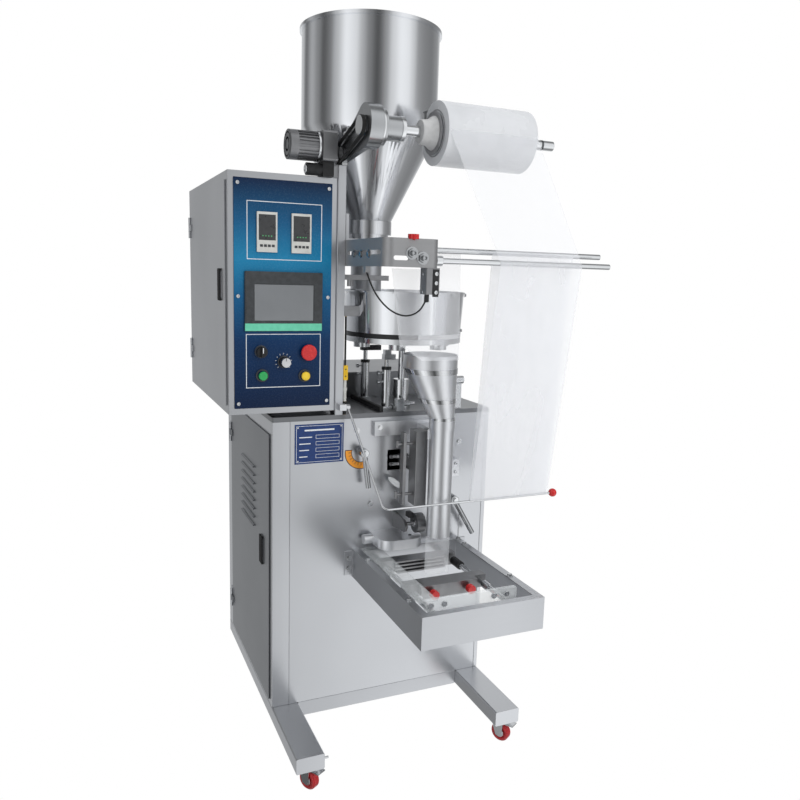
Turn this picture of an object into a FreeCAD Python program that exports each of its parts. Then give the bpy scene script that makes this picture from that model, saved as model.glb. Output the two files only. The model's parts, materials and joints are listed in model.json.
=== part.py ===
import FreeCAD, Part
import math
import os

# Vertical granule packing machine, all sizes in millimetres.
# While it is built up, x runs right along the cabinet's front, y runs back and z runs up from the floor,
# from the cabinet's front left corner. At the end the origin moves to the middle of its footprint.

V = FreeCAD.Vector
AXIS_X = V(1, 0, 0)
AXIS_Y = V(0, 1, 0)
AXIS_Z = V(0, 0, 1)

# Clearances
SEAT_GAP = 0.3
RUN_GAP = 0.05

# Castors and skids
WHEEL_RADIUS = 26.0
WHEEL_WIDTH = 22.0
WHEEL_HUB_RADIUS = 15.0
CASTOR_AXLE_RADIUS = 4.0
CASTOR_TRAIL = 20.0
CASTOR_HEIGHT = 73.0
CASTOR_INSET = 60.0
CASTOR_CROWN_DROP = 11.0
CASTOR_TURN = -149.0
PEDAL_RISE = 4.0
FORK_SHEET = 3.0
KINGPIN_RADIUS = 5.0
SKID_WIDTH = 72.0
SKID_HEIGHT = 41.0
SKID_REACH = 237.0
SKID_CORNER = 4.0

# Cabinet
CABINET_WIDTH = 625.0
CABINET_DEPTH = 570.0
CABINET_TOP = 905.0
SHEET = 3.0
DECK_THICKNESS = 12.0
POST_DEPTH = 22.0
FRONT_LEFT_POST = 46.0
FRONT_RIGHT_POST = 12.0
REAR_LEFT_POST = 57.0
RAIL_HEIGHT = 16.0
TOP_RAIL_HEIGHT = 46.0
DOOR_GAP = 0.5
HINGE_RADIUS = 4.5
HINGE_PIN_RADIUS = 2.5
HINGE_LENGTH = 60.0
LOUVRE_COUNT = 8
LOUVRE_WIDTH = 160.0
LOUVRE_PITCH = 24.0
LOUVRE_RADIUS = 5.0
LOUVRE_TOP = CABINET_TOP - 174.0
HANDLE_WIDTH = 30.0
HANDLE_HEIGHT = 78.0
HANDLE_PROUD = 4.0
WINDOW_LEFT = 317.0
WINDOW_WIDTH = 48.0
WINDOW_BOTTOM = CABINET_TOP - 160.0
WINDOW_HEIGHT = 56.0
REAR_HOUSING_FRONT = 262.0
REAR_HOUSING_HEIGHT = 74.0
CABINET_DOOR_FRONT = 24.0
CABINET_DOOR_REAR = CABINET_DEPTH - REAR_LEFT_POST - 8.0
CABINET_DOOR_BOTTOM = 126.0
CABINET_DOOR_TOP = CABINET_TOP - 48.0
CABINET_HANDLE_BOTTOM = 487.0
CABINET_HANDLE_INSET = 60.0

# Control box
BOX_LEFT = -108.0
BOX_RIGHT = 163.0
BOX_DEPTH = 592.0
BOX_BOTTOM = CABINET_TOP + 12.0
BOX_TOP = BOX_BOTTOM + 582.0
FASCIA_WIDTH = 243.0
FASCIA_HEIGHT = 551.0
BOX_DOOR_FRONT = 20.0
BOX_DOOR_REAR = BOX_DEPTH - 44.0
BOX_DOOR_BOTTOM = BOX_BOTTOM + 21.0
BOX_DOOR_TOP = BOX_TOP - 21.0
BOX_DOOR_RIM = 14.0
BOX_HANDLE_BOTTOM = BOX_BOTTOM + 276.0
BOX_HANDLE_INSET = 45.0
SCREEN_WIDTH = 194.0
SCREEN_HEIGHT = 144.0
SCREEN_BOTTOM = BOX_BOTTOM + 206.0
SCREEN_PROUD = 7.0
SCREEN_CORNER = 3.0
GLASS_SIDE_INSET = 22.0
GLASS_RISE = 25.0
GLASS_HEIGHT = 89.0
GLASS_RECESS = 1.5
CONTROLLER_SIZE = 49.0
CONTROLLER_HEIGHT = 94.0
CONTROLLER_BOTTOM = BOX_BOTTOM + 396.0
CONTROLLER_PITCH = 85.0
CONTROLLER_PROUD = 6.0
CONTROLLER_CORNER = 2.0
CONTROLLER_GLASS_INSET = 6.0
CONTROLLER_GLASS_RISE = 48.0
CONTROLLER_GLASS_TOP = 86.0
BUTTON_STEM_RADIUS = 7.0
BUTTON_BEZEL_RADIUS = 15.5
BEZEL_PROUD = 4.0
BUTTON_CAP_RADIUS = 11.0
BUTTON_TRAVEL = 4.0
BUTTON_CAP_DEPTH = 7.0
BUTTON_CAP_EDGE = 2.5
CAP_GAP = 1.0
KNOB_BODY_DEPTH = 14.0
KNOB_DEPTH = 22.0
KNOB_GRIP_WIDTH_SHARE = 0.28
KNOB_GRIP_HEIGHT_SHARE = 0.92
STOP_CAP_RADIUS = 20.0
KNOB_RADIUS = 13.0
SELECTOR_ACROSS = -57.0
SELECTOR_UP = 156.0
STOP_ACROSS = 62.0
STOP_UP = 153.0
SPEED_UP = 130.0
START_ACROSS = -54.0
START_UP = 97.0
JOG_ACROSS = 54.0
JOG_UP = 94.0

# Column, film arm, roll and feed motor
COLUMN_WIDTH = 22.0
COLUMN_DEPTH = 40.0
COLUMN_FRONT = -5.0
COLUMN_TOP = CABINET_TOP + 625.0
ROLL_Y = -150.0
ROLL_Z = CABINET_TOP + 695.0
ROLL_RADIUS = 74.0
ROLL_WIDTH = 240.0
ROLL_LEFT = 352.0
CORE_RADIUS = 38.0
SHAFT_RADIUS = 12.0
SHAFT_END = 682.0
ARM_THICKNESS = 14.0
ARM_HEAD_RADIUS = 50.0
ARM_TAIL_RADIUS = 20.0
BOSS_LENGTH = 32.0
NOSE_RADIUS = 28.0
NOSE_LENGTH = 48.0
PULLEY_RADIUS = 20.0
PULLEY_WIDTH = 11.0
BELT_THICKNESS = 3.0
MOTOR_Y = 6.0
MOTOR_Z = CABINET_TOP + 664.0
MOTOR_RADIUS = 35.0
MOTOR_LENGTH = 72.0
MOTOR_FIN_COUNT = 24
GEARBOX_SIZE = 72.0
GEARBOX_LENGTH = 36.0
OUTPUT_DROP = 14.0
MOTOR_SHAFT_RADIUS = 6.0
CLAMP_BARREL_RADIUS = 15.0
CLAMP_BARREL_LENGTH = 38.0

# Film guide bracket and rods
BRACKET_FRONT = -265.0
BRACKET_RIGHT = 322.0
BRACKET_RETURN = 95.0
BRACKET_BOTTOM = CABINET_TOP + 381.0
BRACKET_TOP = BRACKET_BOTTOM + 64.0
BRACKET_SHEET = 6.0
BRACKET_BEND = 22.0
BRACKET_SLOT_RADIUS = 5.0
ROD_RADIUS = 7.0
ROD_END = 818.0
UPPER_ROD_Y = -196.0
UPPER_ROD_Z = CABINET_TOP + 423.0
LOWER_ROD_Y = -238.0
LOWER_ROD_Z = CABINET_TOP + 398.0

# Hopper
HOPPER_X = 293.0
HOPPER_Y = 130.0
HOPPER_RADIUS = 179.0
HOPPER_WALL = 2.5
HOPPER_TOP = CABINET_TOP + 981.0
HOPPER_RIM = 4.0
BIN_BOTTOM = CABINET_TOP + 732.0
CONE_BOTTOM = CABINET_TOP + 502.0
COLLAR_RADIUS = 66.0
COLLAR_HEIGHT = 35.0
NECK_RADIUS = 58.0
NECK_HEIGHT = 17.0
THROAT_RADIUS = 42.0
THROAT_BOTTOM = CABINET_TOP + 223.0
SADDLE_THICKNESS = 5.0
SADDLE_RADIUS = 76.0

# Turntable
TABLE_X = 377.0
TABLE_Y = 62.0
TABLE_RADIUS = 158.0
TABLE_TOP = CABINET_TOP + 201.0
TABLE_THICKNESS = 14.0
HOOD_TOP_RADIUS = 163.0
HOOD_BOTTOM_RADIUS = 157.0
HOOD_TOP = CABINET_TOP + 321.0
HOOD_BOTTOM = CABINET_TOP + 213.0
HOOD_WALL = 2.5
HOOD_ARM_DROP = 66.0
HOOD_ARM_HEIGHT = 26.0
SCRAPER_RISE = 26.0
SCRAPER_HEIGHT = 13.0
SCRAPER_END = 305.0
SCRAPER_KNOB_RADIUS = 8.0
CUP_COUNT = 6
CUP_RADIUS = 20.0
CUP_LENGTH = 16.0
CUP_CIRCLE = 118.0
SPINDLE_RADIUS = 9.0
BEARING_RADIUS = 21.0
BEARING_TOP = CABINET_TOP + 80.0

# Stands on the deck
POST_PLACES = ((329.0, 215.0), (326.0, 46.0))
POST_SLEEVE_RADIUS = 12.0
POST_SLEEVE_HEIGHT = 116.0
POST_ROD_RADIUS = 6.0
POST_TOP = CABINET_TOP + 145.0
POST_FOOT = 30.0
POST_FOOT_HEIGHT = 9.0
LINK_ARM_REACH = 44.0
LINK_ARM_HEIGHT = 14.0
COMB_LEFT = 294.0
COMB_WIDTH = 10.0
COMB_HEIGHT = 14.0
COMB_FRONT = 8.0
COMB_REAR = 238.0
COMB_TOOTH = 10.0
STOP_BLOCK_LEFT = 341.0
STOP_BLOCK_SIZE = 22.0
STOP_BLOCK_HEIGHT = 33.0
DRIVE_STAND_LEFT = 512.0
DRIVE_STAND_WIDTH = 26.0
DRIVE_STAND_HEIGHT = 70.0
DRIVE_CYLINDER_RADIUS = 11.0

# Forming tube
TUBE_X = 411.0
TUBE_Y = -130.0
TUBE_RADIUS = 31.0
TUBE_WALL = 1.5
TUBE_BOTTOM = CABINET_TOP - 310.0
FUNNEL_BOTTOM = CABINET_TOP
FUNNEL_TOP = CABINET_TOP + 165.0
FUNNEL_RADIUS = 70.0
FUNNEL_X = 389.0
FUNNEL_Y = -94.0
FUNNEL_LIP = 34.0
TUBE_BAR_LEFT = 272.0
TUBE_BAR_RIGHT = 471.0
TUBE_BAR_BOTTOM = CABINET_TOP - 60.0
TUBE_BAR_HEIGHT = 38.0
TUBE_BAR_THICKNESS = 14.0

# Back sealer and film puller
SEALER_BOTTOM = CABINET_TOP - 237.0
SEALER_HEIGHT = 200.0
SEALER_LEFT = 358.0
SEALER_WIDTH = 34.0
SEALER_DEPTH = 46.0
SEALER_CORNER = 4.0
CARRIER_INSET = 6.0
CARRIER_WIDTH = 20.0
CARRIER_HEIGHT = 32.0
SIDE_PLATE_OFFSET = 32.0
SIDE_PLATE_THICKNESS = 8.0
SIDE_PLATE_DEPTH = 20.0
SIDE_PLATE_INSET = 4.0
CLAMP_SCREW_Y = 18.0
CLAMP_SCREW_RADIUS = 4.0
CLAMP_SCREW_REACH = 14.0
CLAMP_SCREW_BITE = 4.0
CLAMP_HANDLE_HALF = 9.0
LOW_CLAMP_INSET = 30.0
HIGH_CLAMP_INSET = 34.0
SEALER_FRONT = -92.0
PULL_ROLLER_RADIUS = 26.0
PULL_ROLLER_WIDTH = 24.0
PULL_ROLLER_X = 384.0
PULL_ROLLER_Y = SEALER_FRONT + 28.0
PULL_AXLE_RADIUS = 5.0
PULL_AXLE_END = 4.0
PULL_CHEEK_OFFSET = 22.0
PULL_CHEEK_THICKNESS = 7.0
GUIDE_BRACKET_WIDTH = 22.0
GUIDE_BRACKET_DEPTH = 20.0
GUIDE_BRACKET_DROP = 27.0
GUIDE_BRACKET_RISE = 21.0
PULL_ROLLER_Z = CABINET_TOP - 294.0

# Sealing box and jaws
SEAL_BOX_LEFT = 222.0
SEAL_BOX_RIGHT = 540.0
SEAL_BOX_FRONT = -441.0
SEAL_BOX_BOTTOM = CABINET_TOP - 451.0
SEAL_BOX_HEIGHT = 79.0
SEAL_BOX_RIM = 20.0
EAR_WIDTH = 24.0
JAW_ROD_RADIUS = 7.0
JAW_ROD_Z = SEAL_BOX_BOTTOM + 54.0
JAW_ROD_LEFT = 279.0
JAW_ROD_RIGHT = 474.0
JAW_PLATE_FRONT = -392.0
JAW_PLATE_THICKNESS = 10.0
JAW_HEIGHT = 34.0
FRONT_JAW_REAR = -212.0
FRONT_JAW_DEPTH = 62.0
REAR_JAW_FRONT = -106.0
REAR_JAW_DEPTH = 40.0
REAR_JAW_RIB_DEPTH = 12.0
REAR_JAW_OVERHANG = 12.0
REAR_JAW_RIB_INSET = 24.0
REAR_JAW_RIBS = 4
JAW_TRAVEL = 70.0
RED_KNOB_RADIUS = 11.0
TONGUE_LEFT = 268.0
TONGUE_RIGHT = 392.0
TONGUE_REACH = 96.0
TONGUE_BOTTOM = CABINET_TOP - 352.0
TONGUE_THICKNESS = 26.0

# Clutch levers
LEVER_RADIUS = 7.0
LEVER_HUB_RADIUS = 12.0
LEVER_STANDOFF = 24.0
LEFT_LEVER_X = 237.0
LEFT_LEVER_Z = CABINET_TOP - 99.0
LEFT_LEVER_LENGTH = 96.0
LEFT_LEVER_TILT = 8.0
RIGHT_LEVER_X = 508.0
RIGHT_LEVER_Z = CABINET_TOP - 251.0
RIGHT_LEVER_LENGTH = 120.0
RIGHT_LEVER_TILT = 31.0

# Dancer bar and film
DANCER_RADIUS = 3.0
DANCER_BEND = 16.0
DANCER_PIVOT_X = 191.0
DANCER_PIVOT_Y = -15.0
DANCER_PIVOT_Z = CABINET_TOP + 22.0
DANCER_CORNER_X = 237.0
DANCER_Y = -172.0
DANCER_Z = CABINET_TOP - 212.0
DANCER_END = 727.0
BALL_RADIUS = 11.0
FILM_SHEET = 0.6
WEB_WIDTH = 238.0
ROLL_WEB_LEFT = 353.0
ROD_WEB_LEFT = 492.0
DANCER_WEB_LEFT = 478.0
BAG_WIDTH = 70.0
BAG_BOTTOM = SEAL_BOX_BOTTOM + 32.0

# Sensors
EYE_WIDTH = 34.0
EYE_DEPTH = 34.0
EYE_HEIGHT = 60.0
GLAND_RADIUS = 5.0
GLAND_LENGTH = 8.0
CORD_RADIUS = 2.0
CORD_CORNER = 60.0
SWITCH_SIZE = 12.0
SWITCH_CABLE_RADIUS = 2.2
SWITCH_HEIGHT = 38.0
CORD_HEIGHTS = (313.0, 293.0, 276.0, 268.0, 274.0, 290.0, 313.0, 339.0, 367.0)
CORD_PLACES = (
    (298.0, -248.0), (293.0, -243.0), (281.0, -231.0), (263.0, -214.0), (243.0, -194.0), (225.0, -176.0),
    (210.0, -160.0), (199.0, -148.0), (191.0, -140.0),
)
SWITCH_BOTTOM = CABINET_TOP + 91.0

# Values worked out from the driving dimensions
CABINET_BOTTOM = CASTOR_HEIGHT + SKID_HEIGHT
DECK_BOTTOM = CABINET_TOP - DECK_THICKNESS
COLUMN_LEFT = BOX_RIGHT
COLUMN_RIGHT = COLUMN_LEFT + COLUMN_WIDTH
COLUMN_MIDDLE = COLUMN_FRONT + COLUMN_DEPTH / 2
FASCIA_LEFT = (BOX_LEFT + BOX_RIGHT - FASCIA_WIDTH) / 2
FASCIA_BOTTOM = (BOX_BOTTOM + BOX_TOP - FASCIA_HEIGHT) / 2
ARM_RIGHT = COLUMN_RIGHT + 1.0
ARM_LEFT = ARM_RIGHT - ARM_THICKNESS
BOSS_RIGHT = ARM_RIGHT + BOSS_LENGTH
NOSE_RIGHT = BOSS_RIGHT + NOSE_LENGTH
OUTPUT_Z = MOTOR_Z - OUTPUT_DROP
PULLEY_RIGHT = ARM_LEFT - 1.0
PULLEY_LEFT = PULLEY_RIGHT - PULLEY_WIDTH
GEARBOX_RIGHT = PULLEY_LEFT - 8.0
GEARBOX_LEFT = GEARBOX_RIGHT - GEARBOX_LENGTH
SADDLE_TOP = CONE_BOTTOM - COLLAR_HEIGHT - NECK_HEIGHT
CORD_ROUTE = [V(x, y, CABINET_TOP + z) for (x, y), z in zip(CORD_PLACES, CORD_HEIGHTS)]


def box(x0, x1, y0, y1, z0, z1):
    return Part.makeBox(x1 - x0, y1 - y0, z1 - z0, V(x0, y0, z0))


def rod(start, end, radius):
    path = end - start
    return Part.makeCylinder(radius, path.Length, start, path)


def pipe(start, end, outer, inner):
    return rod(start, end, outer).cut(rod(start, end, inner))


def joined(shapes):
    whole = shapes[0]
    for shape in shapes[1:]:
        whole = whole.fuse(shape)
    return whole.removeSplitter()


def softened(shape, direction, radius):
    edges = []
    for edge in shape.Edges:
        straight = isinstance(edge.Curve, Part.Line)
        if straight and abs(edge.tangentAt(edge.FirstParameter).dot(direction)) > 0.999:
            edges.append(edge)
    return shape.makeFillet(radius, edges)


def turned(profile, axis_x, axis_y):
    points = [V(r, 0, z) for r, z in profile]
    face = Part.Face(Part.makePolygon(points + [points[0]]))
    shape = face.revolve(V(0, 0, 0), AXIS_Z, 360)
    shape.translate(V(axis_x, axis_y, 0))
    return shape


def slab(points, normal):
    face = Part.Face(Part.makePolygon(points + [points[0]]))
    return face.extrude(normal)


def castor_places():
    left = SKID_WIDTH / 2
    right = CABINET_WIDTH - SKID_WIDTH / 2
    front = -SKID_REACH + CASTOR_INSET
    rear = CABINET_DEPTH - CASTOR_INSET
    return {
        "front_left": V(left, front, 0),
        "front_right": V(right, front, 0),
        "rear_left": V(left, rear, 0),
        "rear_right": V(right, rear, 0),
    }


def skid(left_edge):
    # Box section runner with a plate and a headed kingpin under each end for its castor.
    body = box(left_edge, left_edge + SKID_WIDTH, -SKID_REACH, CABINET_DEPTH, CASTOR_HEIGHT, CABINET_BOTTOM)
    pieces = [softened(body, AXIS_Y, SKID_CORNER)]
    middle = left_edge + SKID_WIDTH / 2
    plate = SKID_WIDTH * 0.4
    for place in castor_places().values():
        if abs(place.x - middle) < 1:
            top = CASTOR_HEIGHT
            race = top - FORK_SHEET
            y = place.y
            pieces.append(box(middle - plate, middle + plate, y - plate, y + plate, race, top))
            head = race - CASTOR_CROWN_DROP - SEAT_GAP
            pieces.append(rod(V(middle, y, head), V(middle, y, race), KINGPIN_RADIUS))
            pieces.append(rod(V(middle, y, head - FORK_SHEET), V(middle, y, head), KINGPIN_RADIUS * 1.8))
    return joined(pieces)


def cross_rails():
    front = box(SKID_WIDTH, CABINET_WIDTH - SKID_WIDTH, 0, SKID_HEIGHT, CASTOR_HEIGHT, CABINET_BOTTOM)
    rear = front.copy()
    rear.translate(V(0, CABINET_DEPTH - SKID_HEIGHT, 0))
    return Part.makeCompound([front, rear])


def castor_fork(place):
    # Swivel head, two cheeks, the axle between them and a brake pedal over the wheel.
    race = CASTOR_HEIGHT - FORK_SHEET - SEAT_GAP
    crown = CASTOR_HEIGHT - FORK_SHEET - CASTOR_CROWN_DROP
    inner = WHEEL_WIDTH / 2 + 2.0
    outer = inner + FORK_SHEET
    axle_y = place.y + CASTOR_TRAIL
    head = rod(V(place.x, place.y, crown), V(place.x, place.y, race), outer + 5)
    crown_plate = box(place.x - outer, place.x + outer, place.y - outer, axle_y + 8, crown,
                      crown + FORK_SHEET)
    pieces = [head, crown_plate]
    for side in (-1, 1):
        x0 = place.x + side * inner
        x1 = place.x + side * outer
        points = [
            V(min(x0, x1), place.y - 4, crown + FORK_SHEET),
            V(min(x0, x1), axle_y - 9, WHEEL_RADIUS - 7),
            V(min(x0, x1), axle_y + 9, WHEEL_RADIUS - 7),
            V(min(x0, x1), axle_y + 12, crown + FORK_SHEET),
        ]
        pieces.append(slab(points, V(FORK_SHEET, 0, 0)))
    pedal_z = WHEEL_RADIUS * 2 + PEDAL_RISE
    pedal = box(place.x - inner, place.x + inner, axle_y + 8, axle_y + 40, pedal_z, pedal_z + FORK_SHEET)
    neck = box(place.x - inner, place.x + inner, axle_y + 8, axle_y + 12, pedal_z, crown + FORK_SHEET)
    pieces += [pedal, neck]
    axle = rod(V(place.x - outer, axle_y, WHEEL_RADIUS), V(place.x + outer, axle_y, WHEEL_RADIUS),
               CASTOR_AXLE_RADIUS)
    pieces.append(axle)
    fork = joined(pieces)
    bore = rod(V(place.x, place.y, crown - 1), V(place.x, place.y, CASTOR_HEIGHT), KINGPIN_RADIUS + RUN_GAP)
    return swivelled(fork.cut(bore), place)


def swivelled(shape, place):
    # Turns a castor's piece about its kingpin to the way the castors point at rest.
    shape.rotate(place, AXIS_Z, CASTOR_TURN)
    return shape


def castor_wheel(place):
    # Tyre with rounded shoulders on a recessed hub.
    half = WHEEL_WIDTH / 2
    hub_half = half + 1.7
    bore = CASTOR_AXLE_RADIUS + RUN_GAP
    edge = WHEEL_RADIUS - 4
    profile = [
        (bore, -hub_half), (bore + 4, -hub_half), (bore + 4, -half + 3), (WHEEL_HUB_RADIUS, -half + 3),
        (WHEEL_HUB_RADIUS + 2, -half), (edge, -half), (WHEEL_RADIUS, -half + 4), (WHEEL_RADIUS, half - 4),
        (edge, half), (WHEEL_HUB_RADIUS + 2, half), (WHEEL_HUB_RADIUS, half - 3), (bore + 4, half - 3),
        (bore + 4, hub_half), (bore, hub_half),
    ]
    wheel = turned(profile, 0, 0)
    wheel.rotate(V(0, 0, 0), AXIS_Y, 90)
    wheel.translate(V(place.x, place.y + CASTOR_TRAIL, WHEEL_RADIUS))
    return swivelled(wheel, place)


def cabinet_posts():
    rear_y = CABINET_DEPTH
    posts = [
        box(0, FRONT_LEFT_POST, 0, POST_DEPTH, CABINET_BOTTOM, DECK_BOTTOM),
        box(CABINET_WIDTH - FRONT_RIGHT_POST, CABINET_WIDTH, 0, POST_DEPTH, CABINET_BOTTOM, DECK_BOTTOM),
        box(0, POST_DEPTH, rear_y - REAR_LEFT_POST, rear_y, CABINET_BOTTOM, DECK_BOTTOM),
        box(CABINET_WIDTH - POST_DEPTH, CABINET_WIDTH, rear_y - POST_DEPTH, rear_y, CABINET_BOTTOM,
            DECK_BOTTOM),
    ]
    return posts


def cabinet_rails():
    # A ring of rails at the foot of the cabinet and one under its deck.
    rails = []
    inner_right = CABINET_WIDTH - SHEET
    rear = CABINET_DEPTH - SHEET
    for z0, z1 in ((CABINET_BOTTOM, CABINET_BOTTOM + RAIL_HEIGHT), (DECK_BOTTOM - TOP_RAIL_HEIGHT,
                   DECK_BOTTOM)):
        rails.append(box(FRONT_LEFT_POST, CABINET_WIDTH - FRONT_RIGHT_POST - 12, SHEET, POST_DEPTH, z0, z1))
        rails.append(box(0, POST_DEPTH, POST_DEPTH, CABINET_DEPTH - REAR_LEFT_POST, z0, z1))
        rails.append(box(inner_right - POST_DEPTH + SHEET, inner_right, POST_DEPTH,
                     CABINET_DEPTH - POST_DEPTH,
                         z0, z1))
        rails.append(box(POST_DEPTH, CABINET_WIDTH - POST_DEPTH, rear - POST_DEPTH + SHEET, rear, z0, z1))
    return rails


def cabinet_frame():
    return joined(cabinet_posts() + cabinet_rails())


def front_panel():
    panel = box(FRONT_LEFT_POST, CABINET_WIDTH - FRONT_RIGHT_POST, 0, SHEET, CABINET_BOTTOM, DECK_BOTTOM)
    window = box(WINDOW_LEFT, WINDOW_LEFT + WINDOW_WIDTH, -1, SHEET + 1, WINDOW_BOTTOM,
                 WINDOW_BOTTOM + WINDOW_HEIGHT)
    return panel.cut(window)


def right_panel():
    return box(CABINET_WIDTH - SHEET, CABINET_WIDTH, POST_DEPTH, CABINET_DEPTH - POST_DEPTH, CABINET_BOTTOM,
               DECK_BOTTOM)


def rear_panel():
    return box(POST_DEPTH, CABINET_WIDTH - POST_DEPTH, CABINET_DEPTH - SHEET, CABINET_DEPTH, CABINET_BOTTOM,
               DECK_BOTTOM)


def floor_pan():
    return box(POST_DEPTH, CABINET_WIDTH - POST_DEPTH, POST_DEPTH, CABINET_DEPTH - POST_DEPTH,
               CABINET_BOTTOM,
               CABINET_BOTTOM + SHEET)


def top_deck():
    deck = box(0, CABINET_WIDTH, 0, CABINET_DEPTH, DECK_BOTTOM, CABINET_TOP)
    deck = softened(deck, AXIS_Z, SHEET)
    spacer_right = BOX_RIGHT - 20
    pieces = [deck]
    for y in (60.0, CABINET_DEPTH - 110.0):
        pieces.append(box(20, spacer_right, y, y + 50, CABINET_TOP, BOX_BOTTOM))
    pieces.append(rear_housing())
    return joined(pieces)


def rear_housing():
    # Raised rear part of the deck, behind the turntable.
    left = COLUMN_RIGHT + 8
    body = box(left, CABINET_WIDTH - FRONT_RIGHT_POST, REAR_HOUSING_FRONT, CABINET_DEPTH, CABINET_TOP,
               CABINET_TOP + REAR_HOUSING_HEIGHT)
    return softened(body, AXIS_Z, SHEET)


def hinge_axis(face_x, rear_edge):
    return V(face_x - HINGE_RADIUS - DOOR_GAP, rear_edge + HINGE_RADIUS + DOOR_GAP, 0)


def hinge_heights(bottom, top):
    inset = HINGE_LENGTH * 1.5
    return (bottom + inset, top - inset)


def fixed_hinges(face_x, rear_edge, bottom, top):
    # Two fixed leaves, each with its pin and the end knuckles.
    axis = hinge_axis(face_x, rear_edge)
    leaves = []
    for z in hinge_heights(bottom, top):
        half = HINGE_LENGTH / 2
        third = HINGE_LENGTH / 6
        leaf = box(face_x - 2.5, face_x, axis.y, axis.y + 24, z - half, z + half)
        notch = box(face_x - 3, face_x + 1, axis.y - 1, axis.y + HINGE_RADIUS + 1, z - third - 1,
                    z + third + 1)
        pin = rod(V(axis.x, axis.y, z - half), V(axis.x, axis.y, z + half), HINGE_PIN_RADIUS)
        low = rod(V(axis.x, axis.y, z - half), V(axis.x, axis.y, z - third), HINGE_RADIUS)
        high = rod(V(axis.x, axis.y, z + third), V(axis.x, axis.y, z + half), HINGE_RADIUS)
        webs = []
        for z0, z1 in ((z - half, z - third), (z + third, z + half)):
            webs.append(box(axis.x, face_x, axis.y, axis.y + 2.5, z0, z1))
        leaves.append(joined([leaf.cut(notch), pin, low, high] + webs))
    return Part.makeCompound(leaves)


def side_door(face_x, front, rear, bottom, top, handle, louvred):
    # Overlay door on a left side face, hinged at its rear edge.
    sheet_face = face_x - DOOR_GAP - SHEET
    panel = box(sheet_face, sheet_face + SHEET, front, rear, bottom, top)
    axis = hinge_axis(face_x, rear)
    pieces = [panel]
    for z in hinge_heights(bottom, top):
        third = HINGE_LENGTH / 6 - SEAT_GAP
        pieces.append(rod(V(axis.x, axis.y, z - third), V(axis.x, axis.y, z + third), HINGE_RADIUS))
        pieces.append(box(axis.x - 1.5, axis.x + 1.5, rear - 22, axis.y, z - third, z + third))
    if louvred:
        middle = (front + rear) / 2
        for row in range(LOUVRE_COUNT):
            z = LOUVRE_TOP - row * LOUVRE_PITCH
            start = V(sheet_face, middle - LOUVRE_WIDTH / 2, z)
            end = V(sheet_face, middle + LOUVRE_WIDTH / 2, z)
            hood = rod(start, end, LOUVRE_RADIUS)
            half = box(sheet_face - LOUVRE_RADIUS, sheet_face + 1, start.y, end.y, z, z + LOUVRE_RADIUS)
            pieces.append(hood.common(half))
    pieces.append(handle)
    door = joined(pieces)
    for z in hinge_heights(bottom, top):
        third = HINGE_LENGTH / 6
        door = door.cut(rod(V(axis.x, axis.y, z - third), V(axis.x, axis.y, z + third),
                            HINGE_PIN_RADIUS + RUN_GAP))
    return door


def door_handle(face_x, front, bottom):
    # Flush paddle lock with rounded corners.
    sheet_face = face_x - DOOR_GAP - SHEET
    body = box(sheet_face - HANDLE_PROUD, sheet_face, front, front + HANDLE_WIDTH, bottom,
               bottom + HANDLE_HEIGHT)
    return softened(body, AXIS_X, HANDLE_WIDTH * 0.3)


def cabinet_door():
    handle = door_handle(0, CABINET_DOOR_FRONT + CABINET_HANDLE_INSET, CABINET_HANDLE_BOTTOM)
    return side_door(0, CABINET_DOOR_FRONT, CABINET_DOOR_REAR, CABINET_DOOR_BOTTOM, CABINET_DOOR_TOP,
                     handle, True)


def control_box_door():
    handle = door_handle(BOX_LEFT, BOX_DOOR_FRONT + BOX_HANDLE_INSET, BOX_HANDLE_BOTTOM)
    return side_door(BOX_LEFT, BOX_DOOR_FRONT, BOX_DOOR_REAR, BOX_DOOR_BOTTOM, BOX_DOOR_TOP, handle, False)


def control_box():
    # Folded sheet housing, open on its left side behind the door.
    outer = box(BOX_LEFT, BOX_RIGHT, 0, BOX_DEPTH, BOX_BOTTOM, BOX_TOP)
    inner = box(BOX_LEFT + SHEET, BOX_RIGHT - SHEET, SHEET, BOX_DEPTH - SHEET, BOX_BOTTOM + SHEET,
                BOX_TOP - SHEET)
    rim = BOX_DOOR_RIM
    mouth = box(BOX_LEFT - 1, BOX_LEFT + SHEET + 1, BOX_DOOR_FRONT + rim, BOX_DOOR_REAR - rim,
                BOX_DOOR_BOTTOM + rim, BOX_DOOR_TOP - rim)
    return outer.cut(inner).cut(mouth)


def fascia():
    face = box(FASCIA_LEFT, FASCIA_LEFT + FASCIA_WIDTH, -SHEET, 0, FASCIA_BOTTOM,
               FASCIA_BOTTOM + FASCIA_HEIGHT)
    for place in button_places().values():
        face = face.fuse(rod(V(place.x, -SHEET - BEZEL_PROUD, place.z), V(place.x, -SHEET, place.z),
                             BUTTON_BEZEL_RADIUS))
    for place in button_places().values():
        face = face.cut(rod(V(place.x, -SHEET - BEZEL_PROUD - 1, place.z), V(place.x, 1, place.z),
                            BUTTON_STEM_RADIUS + SEAT_GAP))
    return face


def button_places():
    middle = FASCIA_LEFT + FASCIA_WIDTH / 2
    return {
        "selector_knob": V(middle + SELECTOR_ACROSS, 0, BOX_BOTTOM + SELECTOR_UP),
        "emergency_stop": V(middle + STOP_ACROSS, 0, BOX_BOTTOM + STOP_UP),
        "speed_knob": V(middle, 0, BOX_BOTTOM + SPEED_UP),
        "start_button": V(middle + START_ACROSS, 0, BOX_BOTTOM + START_UP),
        "jog_button": V(middle + JOG_ACROSS, 0, BOX_BOTTOM + JOG_UP),
    }


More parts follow.
